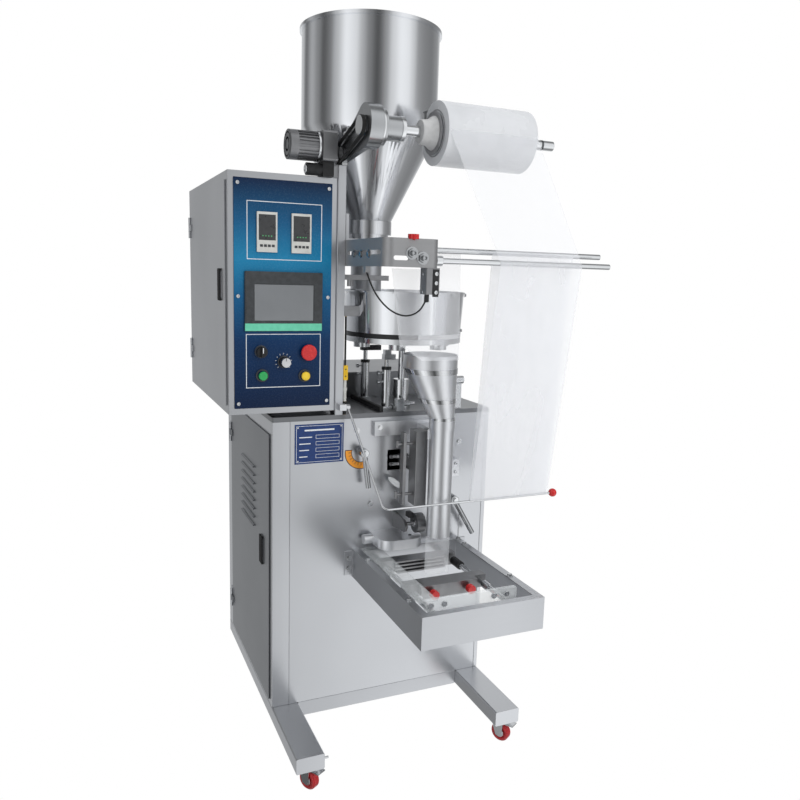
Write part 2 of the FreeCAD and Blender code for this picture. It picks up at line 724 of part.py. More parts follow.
def button(place, cap_radius, travel):
    # Round cap on a stem that slides in its bezel.
    front = -SHEET - BEZEL_PROUD - travel - CAP_GAP
    stem = rod(V(place.x, front, place.z), V(place.x, -travel - SEAT_GAP, place.z), BUTTON_STEM_RADIUS)
    tip = front - BUTTON_CAP_DEPTH
    cap = rod(V(place.x, tip, place.z), V(place.x, front, place.z), cap_radius)
    rim = [edge for edge in cap.Edges if edge.Closed and abs(edge.CenterOfMass.y - tip) < 0.1]
    return joined([cap.makeFillet(BUTTON_CAP_EDGE, rim), stem])


def knob(place, radius):
    front = -SHEET - BEZEL_PROUD - CAP_GAP
    stem = rod(V(place.x, front, place.z), V(place.x, -SHEET, place.z), BUTTON_STEM_RADIUS)
    face = front - KNOB_BODY_DEPTH
    body = rod(V(place.x, face, place.z), V(place.x, front, place.z), radius)
    half = radius * KNOB_GRIP_WIDTH_SHARE
    rise = radius * KNOB_GRIP_HEIGHT_SHARE
    grip = box(place.x - half, place.x + half, front - KNOB_DEPTH, face, place.z - rise, place.z + rise)
    return joined([body, grip, stem])


def touch_screen():
    middle = FASCIA_LEFT + FASCIA_WIDTH / 2
    left = middle - SCREEN_WIDTH / 2
    face = -SHEET - SCREEN_PROUD
    body = box(left, left + SCREEN_WIDTH, face, -SHEET, SCREEN_BOTTOM, SCREEN_BOTTOM + SCREEN_HEIGHT)
    glass_bottom = SCREEN_BOTTOM + GLASS_RISE
    glass = box(left + GLASS_SIDE_INSET, left + SCREEN_WIDTH - GLASS_SIDE_INSET, face - 1,
                face + GLASS_RECESS, glass_bottom, glass_bottom + GLASS_HEIGHT)
    return softened(body, AXIS_Y, SCREEN_CORNER).cut(glass)


def temperature_controllers():
    middle = FASCIA_LEFT + FASCIA_WIDTH / 2
    half = CONTROLLER_SIZE / 2
    face = -SHEET - CONTROLLER_PROUD
    cases = []
    for side in (-1, 1):
        x = middle + side * CONTROLLER_PITCH / 2
        case = box(x - half, x + half, face, -SHEET, CONTROLLER_BOTTOM, CONTROLLER_BOTTOM + CONTROLLER_HEIGHT)
        inner = half - CONTROLLER_GLASS_INSET
        window = box(x - inner, x + inner, face - 1, face + GLASS_RECESS,
                     CONTROLLER_BOTTOM + CONTROLLER_GLASS_RISE, CONTROLLER_BOTTOM + CONTROLLER_GLASS_TOP)
        cases.append(softened(case, AXIS_Y, CONTROLLER_CORNER).cut(window))
    return Part.makeCompound(cases)


def column():
    body = box(COLUMN_LEFT, COLUMN_RIGHT, COLUMN_FRONT, COLUMN_FRONT + COLUMN_DEPTH, CABINET_TOP,
               COLUMN_TOP)
    return softened(body, AXIS_Z, 2)


def film_arm():
    # Slab arm on the column: round head round the roll bearing, round tail round the motor's output shaft.
    head = rod(V(ARM_LEFT, ROLL_Y, ROLL_Z), V(ARM_RIGHT, ROLL_Y, ROLL_Z), ARM_HEAD_RADIUS)
    tail = rod(V(ARM_LEFT, MOTOR_Y, OUTPUT_Z), V(ARM_RIGHT, MOTOR_Y, OUTPUT_Z), ARM_TAIL_RADIUS)
    along = V(0, MOTOR_Y - ROLL_Y, OUTPUT_Z - ROLL_Z).normalize()
    across = along.cross(AXIS_X)
    head_centre = V(ARM_LEFT, ROLL_Y, ROLL_Z)
    tail_centre = V(ARM_LEFT, MOTOR_Y, OUTPUT_Z)
    points = [
        head_centre + across * ARM_HEAD_RADIUS, head_centre - across * ARM_HEAD_RADIUS,
        tail_centre - across * ARM_TAIL_RADIUS, tail_centre + across * ARM_TAIL_RADIUS,
    ]
    web = slab(points, V(ARM_THICKNESS, 0, 0))
    foot = box(ARM_LEFT, ARM_RIGHT, COLUMN_FRONT, MOTOR_Y + ARM_TAIL_RADIUS * 0.8, COLUMN_TOP, OUTPUT_Z)
    step = ARM_RIGHT + BOSS_LENGTH * 0.6
    boss = rod(V(ARM_RIGHT, ROLL_Y, ROLL_Z), V(step, ROLL_Y, ROLL_Z), ARM_HEAD_RADIUS)
    ring = rod(V(step, ROLL_Y, ROLL_Z), V(BOSS_RIGHT, ROLL_Y, ROLL_Z), ARM_HEAD_RADIUS * 0.84)
    nose = rod(V(BOSS_RIGHT, ROLL_Y, ROLL_Z), V(NOSE_RIGHT, ROLL_Y, ROLL_Z), NOSE_RADIUS)
    body = joined([head, tail, web, foot, boss, ring, nose])
    bore = rod(V(ARM_LEFT - 1, ROLL_Y, ROLL_Z), V(NOSE_RIGHT + 1, ROLL_Y, ROLL_Z), SHAFT_RADIUS + RUN_GAP)
    motor_bore = rod(V(ARM_LEFT - 1, MOTOR_Y, OUTPUT_Z), V(ARM_RIGHT + 1, MOTOR_Y, OUTPUT_Z),
                     MOTOR_SHAFT_RADIUS + 2)
    return body.cut(bore).cut(motor_bore)


def pulley(y, z):
    rim = PULLEY_RADIUS + 2
    middle = rod(V(PULLEY_LEFT + 1, y, z), V(PULLEY_RIGHT - 1, y, z), PULLEY_RADIUS)
    left = rod(V(PULLEY_LEFT, y, z), V(PULLEY_LEFT + 1, y, z), rim)
    right = rod(V(PULLEY_RIGHT - 1, y, z), V(PULLEY_RIGHT, y, z), rim)
    return joined([middle, left, right])


def roll_shaft():
    # Shaft through the arm with its driven pulley, the two cone collars and the clamp screw.
    shaft = rod(V(PULLEY_LEFT, ROLL_Y, ROLL_Z), V(SHAFT_END, ROLL_Y, ROLL_Z), SHAFT_RADIUS)
    return joined([pulley(ROLL_Y, ROLL_Z), shaft])


def roll_collars():
    collars = []
    for inner_x, outer_x, hub_x in (
        (ROLL_LEFT + 12, ROLL_LEFT - 6, ROLL_LEFT - 40),
        (ROLL_LEFT + ROLL_WIDTH - 12, ROLL_LEFT + ROLL_WIDTH + 6, ROLL_LEFT + ROLL_WIDTH + 22),
    ):
        axis = V(outer_x - inner_x, 0, 0)
        cone = Part.makeCone(CORE_RADIUS - 4, CORE_RADIUS + 12, abs(axis.x), V(inner_x, ROLL_Y, ROLL_Z),
                             axis)
        hub = rod(V(outer_x, ROLL_Y, ROLL_Z), V(hub_x, ROLL_Y, ROLL_Z), CORE_RADIUS - 12)
        collar = joined([cone, hub])
        low = min(inner_x, hub_x) - 1
        high = max(inner_x, hub_x) + 1
        collars.append(collar.cut(rod(V(low, ROLL_Y, ROLL_Z), V(high, ROLL_Y, ROLL_Z), SHAFT_RADIUS)))
    return Part.makeCompound(collars)


def film_roll():
    left = ROLL_LEFT
    right = ROLL_LEFT + ROLL_WIDTH
    body = rod(V(left, ROLL_Y, ROLL_Z), V(right, ROLL_Y, ROLL_Z), ROLL_RADIUS)
    cone_left = Part.makeCone(CORE_RADIUS + 12, CORE_RADIUS - 4, 18, V(left - 6, ROLL_Y, ROLL_Z), AXIS_X)
    cone_right = Part.makeCone(CORE_RADIUS + 12, CORE_RADIUS - 4, 18, V(right + 6, ROLL_Y, ROLL_Z), -AXIS_X)
    bore = rod(V(left - 1, ROLL_Y, ROLL_Z), V(right + 1, ROLL_Y, ROLL_Z), CORE_RADIUS - 4)
    return body.cut(bore).cut(cone_left).cut(cone_right)


def motor_pulley():
    stub = rod(V(GEARBOX_RIGHT - 12, MOTOR_Y, OUTPUT_Z), V(PULLEY_LEFT, MOTOR_Y, OUTPUT_Z),
               MOTOR_SHAFT_RADIUS)
    return joined([pulley(MOTOR_Y, OUTPUT_Z), stub])


def feed_belt():
    # Closed flat belt round both pulleys, standing clear of their faces.
    inner = PULLEY_RADIUS + SEAT_GAP
    outer = inner + BELT_THICKNESS
    left = PULLEY_LEFT + 1 + SEAT_GAP
    right = PULLEY_RIGHT - 1 - SEAT_GAP
    motor = V(0, MOTOR_Y, OUTPUT_Z)
    roll = V(0, ROLL_Y, ROLL_Z)
    loops = []
    for radius in (outer, inner):
        along = (roll - motor).normalize()
        across = along.cross(AXIS_X) * radius
        points = [motor + across, roll + across, roll - across, motor - across]
        points = [V(left, p.y, p.z) for p in points]
        web = slab(points, V(right - left, 0, 0))
        ends = [rod(V(left, c.y, c.z), V(right, c.y, c.z), radius) for c in (motor, roll)]
        loops.append(joined([web] + ends))
    return loops[0].cut(loops[1])


def feed_motor():
    # Finned induction motor with a flange and a square gearbox.
    shell_left = GEARBOX_LEFT - MOTOR_LENGTH
    centre = V(0, MOTOR_Y, MOTOR_Z)
    shell = rod(V(shell_left, centre.y, centre.z), V(GEARBOX_LEFT, centre.y, centre.z), MOTOR_RADIUS - 4)
    pieces = [shell]
    for index in range(MOTOR_FIN_COUNT):
        fin = box(shell_left + 14, GEARBOX_LEFT - 6, -1.0, 1.0, MOTOR_RADIUS - 6, MOTOR_RADIUS)
        fin.rotate(V(0, 0, 0), AXIS_X, index * 360.0 / MOTOR_FIN_COUNT)
        fin.translate(centre)
        pieces.append(fin)
    pieces.append(rod(V(shell_left - 6, centre.y, centre.z), V(shell_left + 14, centre.y, centre.z),
                  MOTOR_RADIUS))
    half = GEARBOX_SIZE / 2
    gearbox = box(GEARBOX_LEFT, GEARBOX_RIGHT, centre.y - half, centre.y + half, centre.z - half,
                  centre.z + half)
    pieces.append(softened(gearbox, AXIS_X, 6))
    body = joined(pieces)
    return body.cut(rod(V(GEARBOX_RIGHT - 13, centre.y, OUTPUT_Z), V(GEARBOX_RIGHT + 1, centre.y, OUTPUT_Z),
                        MOTOR_SHAFT_RADIUS + RUN_GAP))


def motor_clamp():
    # Black swivel clamp that carries the gearbox on the control box.
    half = GEARBOX_SIZE / 2
    x0 = GEARBOX_LEFT + 4
    block = box(x0, GEARBOX_RIGHT - 4, MOTOR_Y - 22, MOTOR_Y + 22, BOX_TOP, MOTOR_Z - half)
    barrel_z = BOX_TOP + CLAMP_BARREL_RADIUS + 1
    barrel = rod(V(x0 - CLAMP_BARREL_LENGTH, MOTOR_Y - 6, barrel_z), V(x0, MOTOR_Y - 6, barrel_z),
                 CLAMP_BARREL_RADIUS)
    return joined([block, barrel])


def film_bracket():
    # Bent strip: left leg from the column, front face and a short right leg, with two adjusting slots.
    left = COLUMN_RIGHT
    outer = box(left, BRACKET_RIGHT, BRACKET_FRONT, COLUMN_FRONT + COLUMN_DEPTH, BRACKET_BOTTOM,
                BRACKET_TOP)
    corners = []
    for edge in outer.Edges:
        upright = abs(edge.tangentAt(edge.FirstParameter).dot(AXIS_Z)) > 0.999
        if upright and abs(edge.CenterOfMass.y - BRACKET_FRONT) < 1:
            corners.append(edge)
    outer = outer.makeFillet(BRACKET_BEND, corners)
    inner = box(left + BRACKET_SHEET, BRACKET_RIGHT - BRACKET_SHEET, BRACKET_FRONT + BRACKET_SHEET,
                COLUMN_FRONT + COLUMN_DEPTH + 1, BRACKET_BOTTOM - 1, BRACKET_TOP + 1)
    corners = []
    for edge in inner.Edges:
        upright = abs(edge.tangentAt(edge.FirstParameter).dot(AXIS_Z)) > 0.999
        if upright and abs(edge.CenterOfMass.y - BRACKET_FRONT - BRACKET_SHEET) < 1:
            corners.append(edge)
    inner = inner.makeFillet(BRACKET_BEND - BRACKET_SHEET, corners)
    strip = outer.cut(inner)
    behind = box(BRACKET_RIGHT - BRACKET_SHEET - 1, BRACKET_RIGHT + 1, BRACKET_FRONT + BRACKET_RETURN,
                 COLUMN_FRONT + COLUMN_DEPTH + 2, BRACKET_BOTTOM - 2, BRACKET_TOP + 2)
    strip = strip.cut(behind)
    slot_z = (BRACKET_BOTTOM + BRACKET_TOP) / 2
    side_start = V(left - 1, BRACKET_FRONT + BRACKET_BEND + 8, slot_z)
    side_end = V(left - 1, COLUMN_FRONT - 23, slot_z)
    strip = strip.cut(slot(side_start, side_end, AXIS_X * (BRACKET_SHEET + 2), BRACKET_SLOT_RADIUS))
    front_start = V(left + BRACKET_BEND + 4, BRACKET_FRONT - 1, slot_z - 12)
    front_end = V(left + BRACKET_BEND + 32, BRACKET_FRONT - 1, slot_z - 12)
    strip = strip.cut(slot(front_start, front_end, AXIS_Y * (BRACKET_SHEET + 2), BRACKET_SLOT_RADIUS))
    for y, z in ((UPPER_ROD_Y, UPPER_ROD_Z), (LOWER_ROD_Y, LOWER_ROD_Z)):
        strip = strip.cut(rod(V(BRACKET_RIGHT - BRACKET_SHEET - 1, y, z), V(BRACKET_RIGHT + 1, y, z),
                          ROD_RADIUS))
    return strip


def slot(start, end, depth, radius):
    across = (end - start).cross(depth).normalize() * radius
    web = slab([start + across, end + across, end - across, start - across], depth)
    rounds = [Part.makeCylinder(radius, depth.Length, p, depth) for p in (start, end)]
    return joined([web] + rounds)


def guide_rods():
    # Two plain rods, each shouldered against the bracket's right leg.
    start = BRACKET_RIGHT - BRACKET_SHEET - 26
    rods = []
    for y, z in ((UPPER_ROD_Y, UPPER_ROD_Z), (LOWER_ROD_Y, LOWER_ROD_Z)):
        bar = rod(V(start, y, z), V(ROD_END, y, z), ROD_RADIUS)
        collar = rod(V(BRACKET_RIGHT, y, z), V(BRACKET_RIGHT + 16, y, z), ROD_RADIUS + 5)
        rods.append(joined([bar, collar]))
    return Part.makeCompound(rods)


def film_eye():
    # Photo sensor that reads the film's marks, hung under the bracket.
    x1 = BRACKET_RIGHT
    x0 = x1 - EYE_WIDTH
    y0 = BRACKET_FRONT
    top = BRACKET_BOTTOM
    body = box(x0, x1, y0, y0 + EYE_DEPTH, top - EYE_HEIGHT, top)
    body = softened(body, AXIS_Z, 2)
    gland = rod(eye_gland(), eye_gland() + V(0, 0, GLAND_LENGTH), GLAND_RADIUS)
    return joined([body, gland])


def eye_gland():
    return V(BRACKET_RIGHT - EYE_WIDTH + 10, BRACKET_FRONT + EYE_DEPTH / 2,
             BRACKET_BOTTOM - EYE_HEIGHT - GLAND_LENGTH)


def cord_clip():
    # Small clip under the bracket's left leg that the sensor's cord leaves from.
    end = CORD_ROUTE[-1]
    return box(COLUMN_RIGHT, end.x + 6, end.y - 7, end.y + 7, end.z, BRACKET_BOTTOM)


def rounded_path(points, most):
    # Straight runs joined by tangent arcs that start at most so far from each corner.
    edges = []
    at = points[0]
    for before, corner, after in zip(points, points[1:], points[2:]):
        inward = (corner - before)
        outward = (after - corner)
        turn = inward.getAngle(outward)
        cut_back = min(most, 0.45 * min(inward.Length, outward.Length))
        start = corner - inward.normalize() * cut_back
        end = corner + outward.normalize() * cut_back
        bisector = (start + end - corner * 2).normalize()
        radius = cut_back / math.tan(turn / 2)
        centre_distance = math.sqrt(radius * radius + cut_back * cut_back)
        middle = corner + bisector * (centre_distance - radius)
        edges.append(Part.LineSegment(at, start).toShape())
        edges.append(Part.Arc(start, middle, end).toShape())
        at = end
    edges.append(Part.LineSegment(at, points[-1]).toShape())
    return Part.Wire(edges)


def sensor_cord():
    cord = swept_rod(CORD_ROUTE, CORD_RADIUS, CORD_CORNER)
    return cord.cut(film_eye()).cut(cord_clip()).Solids[0]


def swept_rod(points, radius, most):
    path = rounded_path(points, most)
    circle = Part.Wire(Part.makeCircle(radius, points[0], points[1] - points[0]))
    return path.makePipeShell([circle], True, False)


def table_switch():
    # Yellow proximity switch on the column with its plug below.
    x0 = COLUMN_RIGHT
    y0 = COLUMN_FRONT
    middle = V(x0 + SWITCH_SIZE / 2, y0 + SWITCH_SIZE / 2, 0)
    body = box(x0, x0 + SWITCH_SIZE, y0, y0 + SWITCH_SIZE, SWITCH_BOTTOM, SWITCH_BOTTOM + SWITCH_HEIGHT)
    plug = rod(V(middle.x, middle.y, CABINET_TOP), V(middle.x, middle.y, SWITCH_BOTTOM), SWITCH_SIZE * 0.35)
    return joined([body, plug])


def switch_cable():
    middle = V(COLUMN_RIGHT + SWITCH_SIZE / 2, COLUMN_FRONT + SWITCH_SIZE / 2, 0)
    top = HOOD_TOP - HOOD_ARM_DROP
    return rod(V(middle.x, middle.y, SWITCH_BOTTOM + SWITCH_HEIGHT), V(middle.x, middle.y, top),
               SWITCH_CABLE_RADIUS)


def hopper():
    # Open bin over a cone, one spun sheet with a rolled rim.
    wall = HOPPER_WALL
    r = HOPPER_RADIUS
    neck = COLLAR_RADIUS - 2
    profile = [
        (r - wall, HOPPER_TOP), (r + HOPPER_RIM * 2 - wall, HOPPER_TOP), (r + HOPPER_RIM * 2 - wall,
            HOPPER_TOP - 8),
        (r, HOPPER_TOP - 8), (r, BIN_BOTTOM), (neck, CONE_BOTTOM), (neck - wall, CONE_BOTTOM),
        (r - wall, BIN_BOTTOM),
    ]
    return turned(profile, HOPPER_X, HOPPER_Y)


def hopper_collar():
    # Flanged collar under the cone, with the narrower neck below it.
    bottom = CONE_BOTTOM - COLLAR_HEIGHT
    neck_bottom = bottom - NECK_HEIGHT
    inner = NECK_RADIUS - 4
    profile = [
        (COLLAR_RADIUS - 4, CONE_BOTTOM), (COLLAR_RADIUS, CONE_BOTTOM), (COLLAR_RADIUS,
            bottom), (NECK_RADIUS, bottom),
        (NECK_RADIUS, neck_bottom), (THROAT_RADIUS - HOPPER_WALL,
                                     neck_bottom), (THROAT_RADIUS - HOPPER_WALL,
        neck_bottom + 4), (inner, bottom + 4),
    ]
    return turned(profile, HOPPER_X, HOPPER_Y)


def hopper_saddle():
    # Plate on the column that the hopper's neck stands on.
    z1 = SADDLE_TOP
    z0 = z1 - SADDLE_THICKNESS
    ring = rod(V(HOPPER_X, HOPPER_Y, z0), V(HOPPER_X, HOPPER_Y, z1), SADDLE_RADIUS)
    arm = box(COLUMN_RIGHT, HOPPER_X, COLUMN_FRONT, COLUMN_FRONT + COLUMN_DEPTH * 2.4, z0, z1)
    pad = box(COLUMN_RIGHT, COLUMN_RIGHT + 8, COLUMN_FRONT, COLUMN_FRONT + COLUMN_DEPTH, z1, z1 + 60)
    hole = rod(V(HOPPER_X, HOPPER_Y, z0 - 1), V(HOPPER_X, HOPPER_Y, z1 + 1), THROAT_RADIUS)
    return joined([ring, arm, pad]).cut(hole)


def hopper_throat():
    return pipe(V(HOPPER_X, HOPPER_Y, THROAT_BOTTOM), V(HOPPER_X, HOPPER_Y, SADDLE_TOP), THROAT_RADIUS,
                THROAT_RADIUS - HOPPER_WALL)


def turntable_hood():
    # Slightly tapered open drum wall with a rolled top edge.
    profile = [
        (HOOD_TOP_RADIUS - HOOD_WALL, HOOD_TOP), (HOOD_TOP_RADIUS + 2, HOOD_TOP), (HOOD_TOP_RADIUS + 2,
            HOOD_TOP - 4),
        (HOOD_TOP_RADIUS, HOOD_TOP - 4), (HOOD_BOTTOM_RADIUS, HOOD_BOTTOM), (HOOD_BOTTOM_RADIUS - HOOD_WALL,
        HOOD_BOTTOM),
    ]
    return turned(profile, TABLE_X, TABLE_Y)


def hood_seal():
    # Black wiper ring between the drum wall and the turning disc.
    low = V(TABLE_X, TABLE_Y, TABLE_TOP + SEAT_GAP)
    high = V(TABLE_X, TABLE_Y, HOOD_BOTTOM)
    return pipe(low, high, HOOD_BOTTOM_RADIUS - 1, HOOD_BOTTOM_RADIUS - 9)


def hood_arm():
    # Black arm from the column that holds the drum wall.
    z0 = HOOD_TOP - HOOD_ARM_DROP
    reach = TABLE_X - HOOD_BOTTOM_RADIUS + 30
    arm = box(COLUMN_RIGHT, reach, COLUMN_FRONT + 8, COLUMN_FRONT + 30, z0, z0 + HOOD_ARM_HEIGHT)
    drum = Part.makeCone(HOOD_BOTTOM_RADIUS, HOOD_TOP_RADIUS, HOOD_TOP - 4 - HOOD_BOTTOM,
                         V(TABLE_X, TABLE_Y, HOOD_BOTTOM), AXIS_Z)
    return arm.cut(drum)


def scraper_beam():
    # Black beam from the column over the drum, with its clamping knob below.
    z0 = HOOD_TOP + SCRAPER_RISE
    y = COLUMN_FRONT + 6
    beam = box(COLUMN_RIGHT, SCRAPER_END, y - 5, y + 5, z0, z0 + SCRAPER_HEIGHT)
    x = COLUMN_RIGHT + SCRAPER_KNOB_RADIUS * 2
    knob_low = z0 - SCRAPER_KNOB_RADIUS * 2
    return joined([beam, rod(V(x, y, knob_low), V(x, y, z0), SCRAPER_KNOB_RADIUS)])


def turntable():
    # Disc with round measuring cups under it, on its drive spindle.
    bottom = TABLE_TOP - TABLE_THICKNESS
    disc = rod(V(TABLE_X, TABLE_Y, bottom), V(TABLE_X, TABLE_Y, TABLE_TOP), TABLE_RADIUS)
    pieces = [disc]
    holes = []
    for index in range(CUP_COUNT):
        angle = math.radians(index * 360.0 / CUP_COUNT)
        x = TABLE_X + CUP_CIRCLE * math.cos(angle)
        y = TABLE_Y + CUP_CIRCLE * math.sin(angle)
        pieces.append(rod(V(x, y, bottom - CUP_LENGTH), V(x, y, bottom), CUP_RADIUS + 2))
        holes.append(rod(V(x, y, bottom - CUP_LENGTH - 1), V(x, y, TABLE_TOP + 1), CUP_RADIUS))
    spindle = rod(V(TABLE_X, TABLE_Y, BEARING_TOP - 30), V(TABLE_X, TABLE_Y, bottom), SPINDLE_RADIUS)
    hub = rod(V(TABLE_X, TABLE_Y, bottom - 14), V(TABLE_X, TABLE_Y, bottom), SPINDLE_RADIUS * 2.4)
    body = joined(pieces + [spindle, hub])
    for hole in holes:
        body = body.cut(hole)
    return body


def spindle_bearing():
    outer = rod(V(TABLE_X, TABLE_Y, CABINET_TOP), V(TABLE_X, TABLE_Y, BEARING_TOP), BEARING_RADIUS)
    foot = rod(V(TABLE_X, TABLE_Y, CABINET_TOP), V(TABLE_X, TABLE_Y, CABINET_TOP + 8), BEARING_RADIUS * 1.3)
    bore = rod(V(TABLE_X, TABLE_Y, BEARING_TOP - 30 - SEAT_GAP), V(TABLE_X, TABLE_Y, BEARING_TOP + 1),
               SPINDLE_RADIUS + RUN_GAP)
    return joined([outer, foot]).cut(bore)


def adjuster_posts():
    # Telescopic posts, each a sleeve with a rod, a foot and two thumb screws; a link arm tops the rear one
    # and a stepped block the front one.
    posts = []
    for x, y in POST_PLACES:
        sleeve = rod(V(x, y, CABINET_TOP), V(x, y, CABINET_TOP + POST_SLEEVE_HEIGHT), POST_SLEEVE_RADIUS)
        inner = rod(V(x, y, CABINET_TOP + POST_SLEEVE_HEIGHT), V(x, y, POST_TOP), POST_ROD_RADIUS)
        half = POST_FOOT / 2
        foot = box(x - half, x + half, y - half, y + half, CABINET_TOP, CABINET_TOP + POST_FOOT_HEIGHT)
        pieces = [sleeve, inner, foot]
        for drop in (16.0, 40.0):
            z = CABINET_TOP + POST_SLEEVE_HEIGHT - drop
            pieces.append(rod(V(x - POST_SLEEVE_RADIUS - 9, y, z), V(x, y, z), 2.5))
            pieces.append(rod(V(x - POST_SLEEVE_RADIUS - 15, y, z), V(x - POST_SLEEVE_RADIUS - 9, y, z), 6))
        posts.append(joined(pieces))
    rear_x, rear_y = POST_PLACES[0]
    arm = box(rear_x - POST_SLEEVE_RADIUS, rear_x + LINK_ARM_REACH, rear_y - 8, rear_y + 8, POST_TOP,
              POST_TOP + LINK_ARM_HEIGHT)
    front_x, front_y = POST_PLACES[1]
    low = box(front_x - 10, front_x + 22, front_y - 10, front_y + 10, POST_TOP - 8, POST_TOP + 6)
    high = box(front_x - 8, front_x + 10, front_y - 8, front_y + 8, POST_TOP + 6, POST_TOP + 18)
    return Part.makeCompound([joined([posts[0], arm]), joined([posts[1], low, high])])


def stop_block():
    # Small block at the deck's front edge with its clamping screw pointing right.
    left = STOP_BLOCK_LEFT
    right = left + STOP_BLOCK_SIZE
    z = CABINET_TOP + STOP_BLOCK_HEIGHT * 0.6
    y = 4.0 + STOP_BLOCK_SIZE / 2
    body = box(left, right, 4.0, 4.0 + STOP_BLOCK_SIZE, CABINET_TOP, CABINET_TOP + STOP_BLOCK_HEIGHT)
    screw = rod(V(right, y, z), V(right + 18, y, z), 8)
    stem = rod(V(right + 18, y, z), V(right + 34, y, z), 4)
    return joined([body, screw, stem])


def drive_stand():
    # Upright block right of the funnel that carries a short cylinder across its top.
    left = DRIVE_STAND_LEFT
    right = left + DRIVE_STAND_WIDTH
    top = CABINET_TOP + DRIVE_STAND_HEIGHT
    body = box(left, right, 8.0, 30.0, CABINET_TOP, top)
    z = top + DRIVE_CYLINDER_RADIUS - 2
    cylinder = rod(V(left - 6, 19.0, z), V(right + 8, 19.0, z), DRIVE_CYLINDER_RADIUS)
    return joined([body, cylinder])


def comb_bar():
    # Black toothed bar that lies on the deck from front to back.
    right = COMB_LEFT + COMB_WIDTH
    top = CABINET_TOP + COMB_HEIGHT
    pieces = [box(COMB_LEFT, right, COMB_FRONT, COMB_REAR, CABINET_TOP, top - COMB_TOOTH / 2)]
    y = COMB_FRONT
    while y + COMB_TOOTH <= COMB_REAR:
        pieces.append(box(COMB_LEFT, right, y, y + COMB_TOOTH / 2, top - COMB_TOOTH / 2, top))
        y += COMB_TOOTH
    return joined(pieces)


def funnel():
    # Funnel lofted from its offset mouth down to the tube, under an upright lip.
    wall = TUBE_WALL
    shapes = []
    for inset in (0.0, wall):
        mouth = Part.Wire(Part.makeCircle(FUNNEL_RADIUS - inset, V(FUNNEL_X, FUNNEL_Y,
                          FUNNEL_TOP - FUNNEL_LIP)))
        throat = Part.Wire(Part.makeCircle(TUBE_RADIUS - inset, V(TUBE_X, TUBE_Y, FUNNEL_BOTTOM)))
        cone = Part.makeLoft([throat, mouth], True)
        lip = rod(V(FUNNEL_X, FUNNEL_Y, FUNNEL_TOP - FUNNEL_LIP), V(FUNNEL_X, FUNNEL_Y, FUNNEL_TOP),
                  FUNNEL_RADIUS - inset)
        shapes.append(cone.fuse(lip))
    return shapes[0].cut(shapes[1])


def forming_tube():
    tube = pipe(V(TUBE_X, TUBE_Y, TUBE_BOTTOM), V(TUBE_X, TUBE_Y, FUNNEL_BOTTOM), TUBE_RADIUS,
                TUBE_RADIUS - TUBE_WALL)
    ring = pipe(V(TUBE_X, TUBE_Y, FUNNEL_BOTTOM - 24), V(TUBE_X, TUBE_Y, FUNNEL_BOTTOM), TUBE_RADIUS + 2,
                TUBE_RADIUS - TUBE_WALL)
    return joined([tube, ring])


def tube_bracket():
    # Cross bar on the front panel with the saddle that holds the forming tube from behind.
    bar = box(TUBE_BAR_LEFT, TUBE_BAR_RIGHT, -TUBE_BAR_THICKNESS, 0, TUBE_BAR_BOTTOM,
              TUBE_BAR_BOTTOM + TUBE_BAR_HEIGHT)
    z0 = TUBE_BAR_BOTTOM + 8
    z1 = TUBE_BAR_BOTTOM + TUBE_BAR_HEIGHT - 8
    neck = box(TUBE_X - 15, TUBE_X + 15, TUBE_Y + TUBE_RADIUS, -TUBE_BAR_THICKNESS, z0, z1)
    ring = rod(V(TUBE_X, TUBE_Y, z0), V(TUBE_X, TUBE_Y, z1), TUBE_RADIUS + 6)
    rear_half = box(TUBE_X - TUBE_RADIUS * 2, TUBE_X + TUBE_RADIUS * 2, TUBE_Y + 8,
                    TUBE_Y + TUBE_RADIUS * 2, z0, z1)
    ring = ring.common(rear_half)
    hole = rod(V(TUBE_X, TUBE_Y, z0 - 1), V(TUBE_X, TUBE_Y, z1 + 1), TUBE_RADIUS + SEAT_GAP)
    return joined([bar, neck, ring]).cut(hole)


def back_sealer():
    # Upright heated bar behind the tube, its carrier from the panel, a side plate and two T-handled clamp
    # screws.
    z0 = SEALER_BOTTOM
    z1 = z0 + SEALER_HEIGHT
    bar = box(SEALER_LEFT, SEALER_LEFT + SEALER_WIDTH, SEALER_FRONT, SEALER_FRONT + SEALER_DEPTH, z0, z1)
    bar = softened(bar, AXIS_Z, SEALER_CORNER)
    middle = (z0 + z1) / 2
    carrier_x = SEALER_LEFT + CARRIER_INSET
    carrier = box(carrier_x, carrier_x + CARRIER_WIDTH, SEALER_FRONT + SEALER_DEPTH, 0,
                  middle - CARRIER_HEIGHT / 2, middle + CARRIER_HEIGHT / 2)
    plate_x = SEALER_LEFT - SIDE_PLATE_OFFSET
    y = SEALER_FRONT + CLAMP_SCREW_Y
    plate = box(plate_x, plate_x + SIDE_PLATE_THICKNESS, y - SIDE_PLATE_DEPTH / 2, y + SIDE_PLATE_DEPTH / 2,
                z0 + SIDE_PLATE_INSET, z1 - SIDE_PLATE_INSET)
    pieces = [bar, carrier, plate]
    end = plate_x - CLAMP_SCREW_REACH
    for z in (z0 + LOW_CLAMP_INSET, z1 - HIGH_CLAMP_INSET):
        pieces.append(rod(V(end, y, z), V(SEALER_LEFT + CLAMP_SCREW_BITE, y, z), CLAMP_SCREW_RADIUS))
        pieces.append(rod(V(end, y, z - CLAMP_HANDLE_HALF), V(end, y, z + CLAMP_HANDLE_HALF),
                          CLAMP_SCREW_RADIUS))
    return joined(pieces)


def guide_bracket():
    # Small bracket on the panel right of the tube.
    left = TUBE_X + TUBE_RADIUS * 3
    return box(left, left + GUIDE_BRACKET_WIDTH, -GUIDE_BRACKET_DEPTH, 0,
               WINDOW_BOTTOM - GUIDE_BRACKET_DROP, WINDOW_BOTTOM + GUIDE_BRACKET_RISE)


